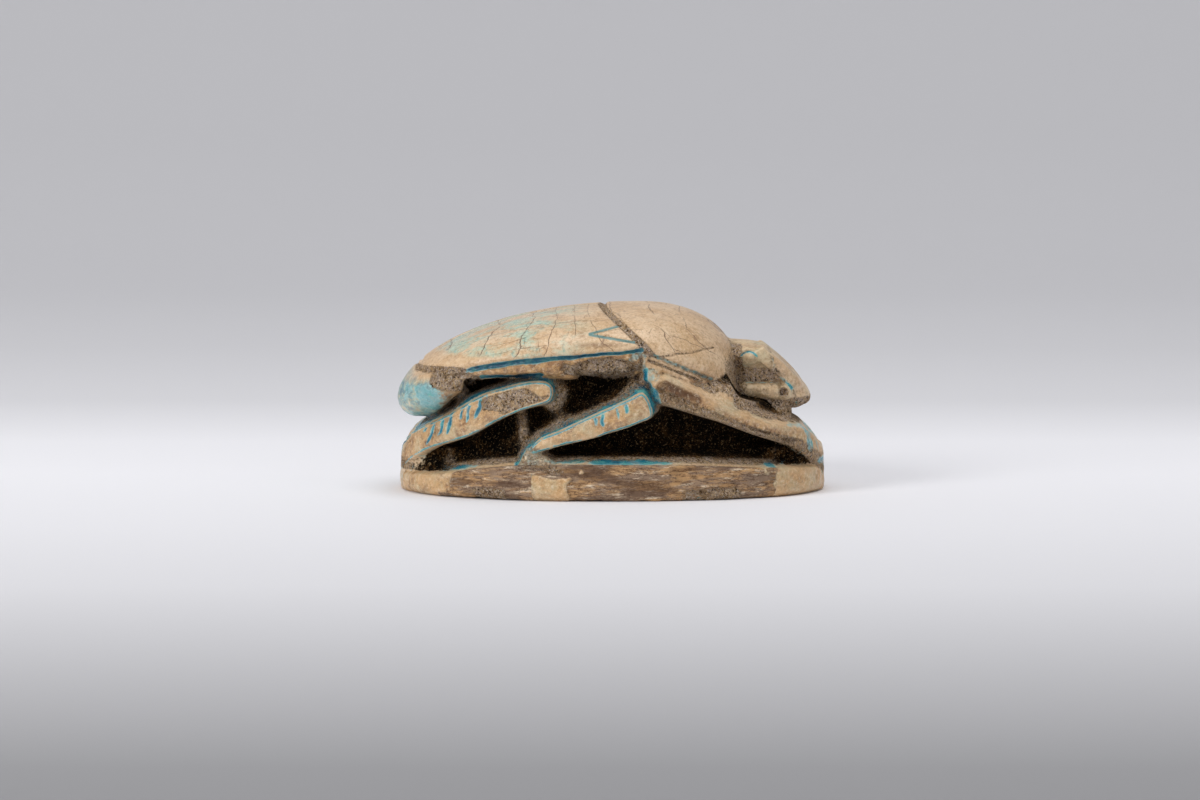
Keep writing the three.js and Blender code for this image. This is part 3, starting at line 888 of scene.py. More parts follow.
class Carving:
    """The whole amulet as fields of distance, and the marks that its skin carries."""

    HOLE_RADIUS = 0.7
    HOLE_HEIGHT = 2.95

    def __init__(self, step: float) -> None:
        """Shape the amulet.

        Args:
            step: The grid's step, in millimetres.
        """
        self.grid = Grid(step)
        self.envelope = Envelope()
        self.body = Body()
        self.head = Head()
        self.noise = Noise(1936)
        self.flanks = {side: Flank(self.envelope, side, self.noise) for side in Side}
        x, y, z = self.grid.axes
        self.body_field = self.body.distance(x, y, z, step)
        self.flank_field = self._flank_field()
        self.head_field = self._head_field()
        whole = smooth_min(self.body_field, self.flank_field, 0.22)
        whole = smooth_min(whole, self.head_field, 0.2)
        hole = np.hypot(y[:, None], (z - self.HOLE_HEIGHT)[None, :]) - self.HOLE_RADIUS
        whole = np.maximum(whole, -hole[None, :, :])
        self.field = np.maximum(whole, -z[None, None, :])
        self.occupied = {radius: self._blurred(radius) for radius in (0.45, 1.3)}

    def _flank_field(self) -> Array:
        """Give the distances to legs, hollows' ground and base."""
        x, y, z = self.grid.axes
        plane_x, plane_y = np.meshgrid(x, y, indexing="ij")
        arc, level, steep = self.envelope.locate(plane_x, plane_y)
        lean = self.envelope.lean(z)
        inset = (lean[None, None, :] - level[:, :, None]) / steep[:, :, None]
        form = np.empty(inset.shape)
        for side, flank in self.flanks.items():
            columns = (y < 0) if side is Side.RIGHT else (y >= 0)
            rows = np.stack(
                [np.interp(z, flank.heights, row) for row in flank.form]
            )
            u = np.clip(arc[:, columns] / flank.STEP, 0, len(rows) - 1.001)
            i = u.astype(np.int64)
            t = (u - i)[:, :, None]
            form[:, columns, :] = rows[i] * (1 - t) + rows[i + 1] * t
        result = form - inset
        slopes = np.gradient(result, self.grid.step)
        result = result / np.sqrt(slopes[0] ** 2 + slopes[1] ** 2 + slopes[2] ** 2 + 0.05)
        cap = Profile([(5.4, 6.6), (6.6, 5.0), (8.4, 4.55), (9.3, 4.2)])(x)
        return np.clip(np.maximum(result, z[None, None, :] - cap[:, None, None]), -2.0, 2.0)

    def _head_field(self) -> Array:
        """Give the distances to the head."""
        result = np.full(self.body_field.shape, 2.0)
        spans = [
            slice(int(np.searchsorted(axis, low)), int(np.searchsorted(axis, high)))
            for axis, low, high in zip(self.grid.axes, self.head.low, self.head.high, strict=True)
        ]
        x, y, z = np.meshgrid(
            *(axis[span] for axis, span in zip(self.grid.axes, spans, strict=True)), indexing="ij"
        )
        result[tuple(spans)] = np.clip(self.head.distance(x, y, z), -2.0, 2.0)
        return result

    def _blurred(self, radius: float) -> Array:
        """Give the share of stone within a radius of each place."""
        share = np.clip(0.5 - self.field / self.grid.step, 0.0, 1.0)
        reach = max(1, round(radius / self.grid.step / 1.6))
        for _ in range(2):
            for axis in range(3):
                padded = np.concatenate(
                    [np.repeat(share.take([0], axis), reach + 1, axis), share,
                     np.repeat(share.take([-1], axis), reach, axis)],
                    axis,
                )
                total = np.cumsum(padded, axis)
                size = share.shape[axis]
                window = 2 * reach + 1
                ahead = total.take(range(window, window + size), axis)
                share = (ahead - total.take(range(size), axis)) / window
        return share

    def located(self, points: Array) -> tuple[Array, Array]:
        """Give the way round the envelope, and the depth inside it, of points in space."""
        arc, level, steep = self.envelope.locate(points[:, 0], points[:, 1])
        return arc, (self.envelope.lean(points[:, 2]) - level) / steep

    def flank_mark(self, name: str, points: Array, arc: Array) -> Array:
        """Read one of the flank's maps at points in space."""
        result = np.zeros(len(points))
        for side, flank in self.flanks.items():
            here = (points[:, 1] < 0) == (side is Side.RIGHT)
            result[here] = flank.sample(getattr(flank, name), arc[here], points[here, 2])
        return result

    def shares(self, points: Array) -> dict[str, Array]:
        """Say how much each point belongs to the body, the head and the flank."""
        fields = {
            "body": self.grid.sample(self.body_field, points),
            "head": self.grid.sample(self.head_field, points),
            "flank": self.grid.sample(self.flank_field, points),
        }
        return {
            name: ease(
                0.16, -0.02, value - np.minimum.reduce([v for n, v in fields.items() if n != name])
            )
            for name, value in fields.items()
        }


@dataclass(frozen=True)
class Seam:
    """A line cut in the body, as it shows from the side, with what fills it."""

    path: tuple[Station, ...]
    width: float
    depth: float
    glaze: float = 0.0
    dust: float = 0.0
    rear_dust: bool = False
    only: Side | None = None


SEAMS = (
    Seam(
        (
            (-9.9, 6.33), (-9.2, 6.42), (-8.2, 6.46), (-7.3, 6.5), (-6.6, 6.65), (-5.6, 6.84),
            (-4.7, 6.97), (-3.4, 7.12), (-2.0, 7.26), (-0.6, 7.37), (0.6, 7.45), (1.5, 7.6),
        ),
        width=0.42, depth=0.24, glaze=1.0, rear_dust=True,
    ),
    Seam(((-6.6, 6.16), (-5.6, 6.18), (-4.7, 6.2), (-3.5, 6.32)), 0.3, 0.12, 1.0, only=Side.RIGHT),
    Seam(((1.7, 7.55), (2.56, 7.12), (3.5, 6.74), (4.49, 6.28), (5.1, 5.98)), 0.34, 0.24, 0.55, 0.6),
    Seam(((1.9, 7.08), (2.7, 6.72), (3.6, 6.36), (4.6, 5.9), (5.3, 5.58)), 0.24, 0.16, 0.4, 0.6),
    Seam(((2.45, 7.3), (3.4, 7.34), (4.3, 7.44), (5.2, 7.56)), 0.09, 0.1, 0.0, 0.8),
    Seam(((1.45, 7.5), (1.5, 7.1), (1.48, 6.5)), 0.15, 0.15, 0.3, 0.9),
    Seam(((0.5, 8.74), (-1.07, 8.4), (1.4, 7.97)), 0.13, 0.1, 0.62, only=Side.RIGHT),
    Seam(((0.5, 8.68), (-1.07, 8.34), (1.4, 7.9)), 0.13, 0.1, 0.4, only=Side.LEFT),
)  # fmt: skip


@dataclass(frozen=True)
class Damage:
    """A place on the body's side where the skin is broken away or stained."""

    at: Station
    radii: Station
    depth: float
    dust: float = 0.0
    bare: float = 0.0
    ochre: float = 0.0
    glaze: float = 0.0
    only: Side | None = None


DAMAGES = (
    Damage((-7.85, 5.85), (1.4, 0.52), 0.3, dust=1.0, only=Side.RIGHT),
    Damage((-7.1, 5.5), (0.34, 0.34), 0.45, dust=1.0, only=Side.RIGHT),
    Damage((-4.4, 6.55), (2.25, 0.4), 0.04, ochre=0.9),
    Damage((-0.55, 6.55), (1.9, 0.62), 0.24, dust=0.75, bare=0.9, only=Side.RIGHT),
    Damage((1.35, 6.95), (0.5, 0.55), 0.05, glaze=0.42, dust=0.4),
    Damage((-6.6, 5.95), (1.0, 0.4), 0.26, dust=1.0, only=Side.LEFT),
    Damage((-1.3, 6.5), (1.3, 0.5), 0.2, dust=0.6, bare=0.9, only=Side.LEFT),
)


class Skin:
    """The carving's mesh, with its fine cuts, the marks of glaze, dust and wear, and the depth that
    drives painted shade.
    """

    MOST_TRIANGLES = 196_000

    def __init__(self, carving: Carving) -> None:
        """Keep the carving whose surface this is."""
        self.carving = carving
        self.noise = carving.noise

    def build(self, name: str) -> bpy.types.Object:
        """Make the finished mesh object.

        Args:
            name: The object's name.

        Returns:
            The object, with one float attribute a mark.
        """
        points, quads = self.carving.grid.surface(self.carving.field)
        points = self._cut(points)
        mesh = bpy.data.meshes.new(name)
        mesh.from_pydata((points * MM).tolist(), [], quads.tolist())
        thing = bpy.data.objects.new(name, mesh)
        bpy.context.scene.collection.objects.link(thing)
        share = self.MOST_TRIANGLES / (2 * len(quads))
        if share < 1.0:
            self._thin(thing, share)
        mesh = thing.data
        mesh.shade_smooth()
        flat = np.empty(len(mesh.vertices) * 3)
        mesh.vertices.foreach_get("co", flat)
        points = flat.reshape(-1, 3) / MM
        for mark, values in self.marks(points).items():
            layer = mesh.attributes.new(mark, "FLOAT", "POINT")
            layer.data.foreach_set("value", values.astype(np.float32))
        return thing

    @staticmethod
    def _thin(thing: bpy.types.Object, share: float) -> None:
        """Reduce the mesh to a share of its triangles, where it is flattest."""
        reducer = thing.modifiers.new("thin", "DECIMATE")
        reducer.ratio = share
        reducer.use_collapse_triangulate = True
        graph = bpy.context.evaluated_depsgraph_get()
        thinned = bpy.data.meshes.new_from_object(thing.evaluated_get(graph))
        old = thing.data
        thing.modifiers.clear()
        thing.data = thinned
        bpy.data.meshes.remove(old)
        thinned.name = thing.name

    @staticmethod
    def _on(side: Side | None, y: Array) -> Array:
        """Say where a mark of one side, or of both, may lie."""
        return np.ones(len(y)) if side is None else (y * side.value > 0).astype(float)

    def _suture_away(self, x: Array, turn: Array) -> Array:
        """Measure the distance to the seam between thorax and wing cases."""
        radius = np.hypot(6.8 * np.sin(turn), 2.2 * np.cos(turn))
        slope = 2.5 * np.cos(turn) / radius
        return np.abs(x - (2.05 - 2.5 * np.sin(turn))) / np.sqrt(1 + slope**2)

    def _seams(self, points: Array, share: dict[str, Array]) -> list[tuple[Seam, Array]]:
        """Give each seam with its fill, from 0 beside it to 1 in its middle."""
        x, y, z = points.T
        wander = 0.05 * self.noise.rough(x, y, z, 0.9, 4)
        upper = ease(5.7, 6.0, z) * share["body"]
        result = []
        for seam in SEAMS:
            away = path_distance(x, z + wander, list(seam.path))
            thin = 1 - 0.35 * ease(-4.0, -2.0, x) * (x < 1.5)
            width = seam.width * (1 + 3.0 * wander) * thin
            fill = upper * self._on(seam.only, y) * ease(width * 0.62, width * 0.1, away)
            result.append((seam, fill))
        return result

    def _damages(self, points: Array, share: dict[str, Array]) -> list[tuple[Damage, Array]]:
        """Give each broken place with its reach, from 0 outside it to 1 inside."""
        x, y, z = points.T
        torn = self.noise.rough(x, y, z, 0.8, 5)
        result = []
        for damage in DAMAGES:
            (u, v), (a, b) = damage.at, damage.radii
            level = (np.abs((x - u) / a) ** 3 + np.abs((z - v) / b) ** 3) ** (1 / 3)
            reach = ease(1.06, 0.9, level + 0.2 * torn) * share["body"] * self._on(damage.only, y)
            result.append((damage, reach))
        return result

    def _cut(self, points: Array) -> Array:
        """Press the seams, the legs' fine cuts and the wear into the surface."""
        carving = self.carving
        normals = carving.grid.normals(carving.field, points)
        x, y, z = points.T
        share = carving.shares(points)
        turn = carving.body.turn(x, y, z)
        depth = np.zeros(len(points))
        for seam, fill in self._seams(points, share):
            depth = np.maximum(depth, seam.depth * fill)
        above = share["body"] * ease(7.1, 7.35, z)
        suture = ease(0.26, 0.06, self._suture_away(x, turn))
        depth = np.maximum(depth, 0.17 * suture * above)
        back = above * (x < 2.05 - 2.5 * np.sin(turn)) * (x > -9.75)
        depth = np.maximum(depth, 0.18 * back * ease(0.15, 0.02, np.abs(y)))
        tail = share["body"] * ease(6.2, 6.45, z) * ease(0.17, 0.02, np.abs(x + 9.78))
        depth = np.maximum(depth, 0.09 * tail)
        rough = self.noise.rough(x, y, z, 0.4, 3)
        for damage, reach in self._damages(points, share):
            depth += reach * (damage.depth + 0.07 * rough * (damage.depth > 0.1))
        low = share["body"] * ease(7.2, 6.6, z) * ease(-9.0, -8.0, x)
        depth += low * 0.05 * rough
        depth += 0.012 * self.noise.rough(x, y, z, 1.6, 4)
        depth += 0.05 * share["head"] * self.noise.rough(x, y, z, 0.7, 4) * ease(7.0, 6.2, z)
        moved = points - normals * depth[:, None]

        arc, _ = carving.located(points)
        detail = carving.flank_mark("detail", points, arc) * share["flank"]
        outward = normals.copy()
        outward[:, 2] *= 0.3
        moved -= outward * detail[:, None]
        border = np.hypot(x / 11.0, y / 7.7)
        moved[:, 2] += 0.1 * (z < 0.05) * bump(border, 0.86, 0.012) * (-normals[:, 2] > 0.9)
        low = np.array(CAD_BOX[0]) / MM + 0.002
        high = np.array(CAD_BOX[1]) / MM - 0.002
        low[2] = 0.0
        return np.clip(moved, low, high)

    def marks(self, points: Array) -> dict[str, Array]:
        """Work out what the skin carries at each vertex.

        Args:
            points: The vertices, in millimetres.

        Returns:
            Each mark's name with its value at every vertex.
        """
        carving, noise = self.carving, self.noise
        x, y, z = points.T
        share = carving.shares(points)
        arc, inset = carving.located(points)
        broad = carving.grid.sample(carving.occupied[1.3], points) - 0.5
        close = carving.grid.sample(carving.occupied[0.45], points) - 0.5
        turn = carving.body.turn(x, y, z)
        body, flank, head = share["body"], share["flank"], share["head"]
        torn = noise.rough(x, y, z, 0.9, 5)

        hollow = flank * ease(0.45, 1.0, inset + 0.3 * torn)
        dust = hollow.copy()
        dust = np.maximum(dust, ease(0.08, 0.26, broad + 0.05 * torn) * (1 - 0.4 * body))
        dust = np.maximum(dust, carving.flank_mark("dust", points, arc) * flank)
        trench = ease(0.5, 0.2, np.abs(z - 6.02 + 0.12 * torn)) * head * ease(8.9, 8.3, x)
        neck = ease(6.9, 6.5, x + 0.15 * torn) * head * ease(7.75, 7.4, z)
        dust = np.maximum(dust, np.maximum(trench, neck) * (np.abs(y) > 1.2))
        dust = np.maximum(dust, 0.85 * head * ease(4.95, 4.7, z + 0.15 * torn))
        dimple = np.hypot(x - 8.84, z - 5.13)
        dust = np.maximum(dust, head * ease(0.3, 0.2, dimple) * (np.abs(y) > 1.5))
        glaze = carving.flank_mark("glaze", points, arc) * flank * ease(1.9, 0.9, inset)
        bare = carving.flank_mark("bare", points, arc) * flank
        ochre = carving.flank_mark("ochre", points, arc) * flank
        brown = carving.flank_mark("brown", points, arc) * flank
        umber = carving.flank_mark("umber", points, arc) * flank
        cavity = np.clip(broad * 3.0, 0.0, 1.0)
        for seam, fill in self._seams(points, share):
            rear = ease(-6.9, -7.6, x + 0.4 * torn) if seam.rear_dust else 0.0
            cavity = np.maximum(cavity, 0.7 * fill * (seam.glaze > 0.65))
            glaze = np.maximum(glaze, fill * seam.glaze * (1 - rear))
            dust = np.maximum(dust, fill * np.maximum(seam.dust, rear))
        for damage, reach in self._damages(points, share):
            dust = np.maximum(dust, damage.dust * reach * ease(-1.3, -0.4, torn))
            bare = np.maximum(bare, damage.bare * reach)
            ochre = np.maximum(ochre, damage.ochre * reach)
            glaze = np.maximum(glaze, damage.glaze * reach)
        above = body * ease(7.1, 7.35, z)
        suture = ease(0.27, 0.13, self._suture_away(x, turn) + 0.03 * torn) * above
        dust = np.maximum(dust, suture)
        median = above * ease(0.14, 0.05, np.abs(y)) * (x < 2.05 - 2.5 * np.sin(turn)) * (x > -9.75)
        dust = np.maximum(dust, 0.7 * median)
        tail = body * ease(-7.9, -8.9, x + 0.5 * torn) * ease(5.95, 5.45, z - 0.3 * torn)
        glaze = np.maximum(glaze, 0.6 * tail * ease(-0.9, -0.2, torn) * ease(-10.9, -10.4, x))
        plate_edge = path_distance(
            x, z, [(8.1, 7.3), (8.47, 6.1), (9.19, 5.43), (9.45, 4.96), (9.5, 4.44)]
        )
        plate_edge = head * ease(0.16, 0.04, plate_edge)
        glaze = np.maximum(glaze, (0.45 + 0.3 * (z < 5.6)) * plate_edge * ease(-0.5, 0.2, torn))
        dust = np.maximum(dust, 0.45 * plate_edge)
        lid = np.abs(np.hypot((x - 7.05) / 1.25, z - 6.9) - 0.32)
        glaze = np.maximum(glaze, 0.7 * head * ease(0.12, 0.03, lid) * (z > 6.95) * (np.abs(y) > 1.8))
        glaze = np.maximum(glaze, 0.42 * head * spot(x, z, (6.9, 6.5), (0.5, 0.35)))
        cheek = head * bump(z, 5.62, 0.07) * ease(6.6, 7.0, x) * ease(8.6, 8.2, x)
        glaze = np.maximum(glaze, 0.5 * cheek)
        front = body * ease(5.3, 6.1, x) * ease(8.2, 6.5, z)
        dust = np.maximum(dust, 0.55 * front)
        side = ease(0.8, 1.6, np.abs(y)) * ease(7.3, 6.5, z) * ease(8.7, 8.2, x)
        dust = np.maximum(dust, 0.3 * head * side)
        dust = np.maximum(dust, 0.45 * body * ease(5.6, 6.3, x + 0.2 * torn) * ease(9.0, 8.0, z))
        dust *= 1 - np.where(flank > 0.5, 0.45, 0.8) * ease(0.35, 0.8, glaze)
        patina = above * ease(-0.3, -3.6, x)
        groove = Profile([(-9.9, 6.33), (-7.3, 6.5), (-4.7, 6.97), (1.5, 7.6)])(x)
        strip = ease(-0.02, -0.15, z - groove)
        strip *= body * ease(1.9, 1.2, x) * ease(-9.4, -8.4, x)
        patina *= 1 - strip
        brown = np.maximum(brown, 0.9 * strip)
        ochre = np.maximum(ochre, strip)
        patina = np.maximum(patina, 0.3 * head + 0.3 * flank)
        brown = np.maximum(brown, 0.45 * head * ease(-0.6, 0.4, torn))
        brown = np.maximum(brown, body * ease(6.5, 5.9, z + 0.2 * torn) * ease(-8.0, -7.0, x) * 0.8)
        crack_u, crack_v = self._cracks(points, turn)
        # deep: how deep a vertex lies in the flank's hollows, also at the shallow tips of the end
        # hollows; the finish paints it as near-black shade
        tips = ease(7.6, 8.8, np.abs(x)) * ease(2.9, 2.5, z)
        deep = np.maximum(ease(0.9, 2.0, inset), 0.8 * tips * ease(0.15, 0.4, inset))
        tint = body * ease(-7.5, -9.0, x + 0.5 * torn) * ease(6.1, 5.5, z - 0.25 * torn)
        tint = np.maximum(tint, 0.55 * body * ease(-9.9, -10.4, x) * ease(7.0, 6.0, z))
        umber = np.maximum(umber, 0.55 * body * spot(x, z, (-0.55, 7.85), (1.2, 0.14)))
        return {
            "glaze": glaze,
            "dust": dust,
            "deep": deep * flank,
            "bare": bare,
            "ochre": ochre,
            "brown": np.clip(brown, 0.0, 1.0),
            "olive": head * ease(8.6, 8.0, x - 0.6 * (z < 5.6)),
            "tint": tint,
            "patina": np.clip(patina, 0.0, 1.0),
            "edge": np.clip(-close * 4.0, 0.0, 1.0),
            "cavity": cavity,
            "umber": umber,
            "crack_u": crack_u,
            "crack_v": crack_v,
            "crackable": above * (1 - suture),
        }

    def _cracks(self, points: Array, turn: Array) -> tuple[Array, Array]:
        """Lay out the long cracks of the back.

        Args:
            points: The vertices, in millimetres.
            turn: The turn of each round the dome.

        Returns:
            Two coordinates, along and round the back, with a crack at each whole number.
        """
        x, y, z = points.T
        lean = Profile(
            [(-9, 0.6), (-6, 0.55), (-3, 0.3), (-1.6, -0.3), (-0.6, -0.95), (3.0, -0.6), (5.0, -1.1)]
        )(x)
        bend = 0.22 * self.noise.rough(x, y, z, 2.2, 4)
        along = x + lean * (8.2 - z) + bend
        places = (-13.5, -9.4, -7.9, -6.1, -4.4, -3.1, -1.75, -0.45, 1.2, 2.85, 4.3, 5.6, 9.5)
        u = Profile([(place, float(i)) for i, place in enumerate(places)])(along)
        v = turn / 0.27 + 0.3 * self.noise.rough(x, y, z, 1.8, 4)
        return u, v


def linear(red: int, green: int, blue: int) -> tuple[float, float, float, float]:
    """Turn a colour as a screen shows it into scene light."""
    parts = [c / 255 for c in (red, green, blue)]
    parts = [c / 12.92 if c <= 0.04045 else ((c + 0.055) / 1.055) ** 2.4 for c in parts]
    return (*parts, 1.0)


Socket = bpy.types.NodeSocket


class Graph:
    """A short way to write the nodes of a material."""

    def __init__(self, name: str) -> None:
        """Start a material with one principled shader."""
        self.material = bpy.data.materials.new(name)
        self.material.use_nodes = True
        self.tree = self.material.node_tree
        self.shader = self.tree.nodes["Principled BSDF"]

    def put(self, kind: str, **settings: object) -> bpy.types.Node:
        """Add a node with its settings."""
        node = self.tree.nodes.new(kind)
        for key, value in settings.items():
            setattr(node, key, value)
        return node

    def feed(self, socket: Socket, value: Socket | float | tuple) -> None:
        """Link a socket, or set it to a constant."""
        if isinstance(value, bpy.types.NodeSocket):
            self.tree.links.new(value, socket)
        else:
            socket.default_value = value

    def math(
        self, operation: str, a: Socket | float, b: Socket | float = 0.0, clamp: bool = False
    ) -> Socket:
        """Combine two numbers."""
        node = self.put("ShaderNodeMath", operation=operation, use_clamp=clamp)
        self.feed(node.inputs[0], a)
        self.feed(node.inputs[1], b)
        return node.outputs[0]

    def blend(self, share: Socket | float, a: Socket | tuple, b: Socket | tuple) -> Socket:
        """Mix two colours."""
        node = self.put("ShaderNodeMix", data_type="RGBA")
        self.feed(node.inputs[0], share)
        self.feed(node.inputs[6], a)
        self.feed(node.inputs[7], b)
        return node.outputs[2]

    def between(self, share: Socket | float, a: Socket | float, b: Socket | float) -> Socket:
        """Mix two numbers."""
        node = self.put("ShaderNodeMix", data_type="FLOAT")
        self.feed(node.inputs[0], share)
        self.feed(node.inputs[2], a)
        self.feed(node.inputs[3], b)
        return node.outputs[0]

    def rise(self, value: Socket, low: float, high: float) -> Socket:
        """Rise smoothly from 0 at low to 1 at high."""
        node = self.put("ShaderNodeMapRange", interpolation_type="SMOOTHSTEP")
        self.feed(node.inputs[0], value)
        node.inputs[1].default_value = low
        node.inputs[2].default_value = high
        return node.outputs[0]

    def mark(self, name: str) -> Socket:
        """Read a vertex mark."""
        return self.put("ShaderNodeAttribute", attribute_name=name).outputs["Fac"]

    def place(self, stretch: tuple[float, float, float] = (1.0, 1.0, 1.0)) -> Socket:
        """Give the place on the part in millimetres, stretched along the axes."""
        scale = self.put("ShaderNodeVectorMath", operation="MULTIPLY")
        self.feed(scale.inputs[0], self.put("ShaderNodeTexCoord").outputs["Object"])
        scale.inputs[1].default_value = tuple(s / MM for s in stretch)
        return scale.outputs[0]

    def noise(
        self, place: Socket, scale: float, detail: float = 4.0, roughness: float = 0.55
    ) -> Socket:
        """Give noise between 0 and 1."""
        node = self.put("ShaderNodeTexNoise")
        self.feed(node.inputs["Vector"], place)
        node.inputs["Scale"].default_value = scale
        node.inputs["Detail"].default_value = detail
        node.inputs["Roughness"].default_value = roughness
        return node.outputs["Fac"]

    def cells(self, place: Socket, scale: float, feature: str = "DISTANCE_TO_EDGE") -> Socket:
        """Give the distances within a pattern of cells."""
        node = self.put("ShaderNodeTexVoronoi", feature=feature)
        self.feed(node.inputs["Vector"], place)
        node.inputs["Scale"].default_value = scale
        return node.outputs["Distance"]

    def segment(self, place: Socket, start: Station, end: Station) -> Socket:
        """Give the distances from places on a plane to the line between two points."""
        span = (end[0] - start[0], end[1] - start[1], 0.0)
        offset = self.put("ShaderNodeVectorMath", operation="SUBTRACT")
        self.feed(offset.inputs[0], place)
        offset.inputs[1].default_value = (*start, 0.0)
        along = self.put("ShaderNodeVectorMath", operation="DOT_PRODUCT")
        self.feed(along.inputs[0], offset.outputs[0])
        along.inputs[1].default_value = span
        share = self.math("DIVIDE", along.outputs["Value"], span[0] ** 2 + span[1] ** 2, True)
        foot = self.put("ShaderNodeVectorMath", operation="SCALE")
        foot.inputs[0].default_value = span
        self.feed(foot.inputs["Scale"], share)
        away = self.put("ShaderNodeVectorMath", operation="DISTANCE")
        self.feed(away.inputs[0], offset.outputs[0])
        self.feed(away.inputs[1], foot.outputs[0])
        return away.outputs["Value"]

    def near(self, value: Socket, width: float, soft: float) -> Socket:
        """Give 1 where a distance is under width, and fall to 0 past it."""
        node = self.put("ShaderNodeMapRange", interpolation_type="SMOOTHSTEP")
        self.feed(node.inputs[0], value)
        node.inputs[1].default_value = width
        node.inputs[2].default_value = width + soft
        node.inputs[3].default_value = 1.0
        node.inputs[4].default_value = 0.0
        return node.outputs[0]


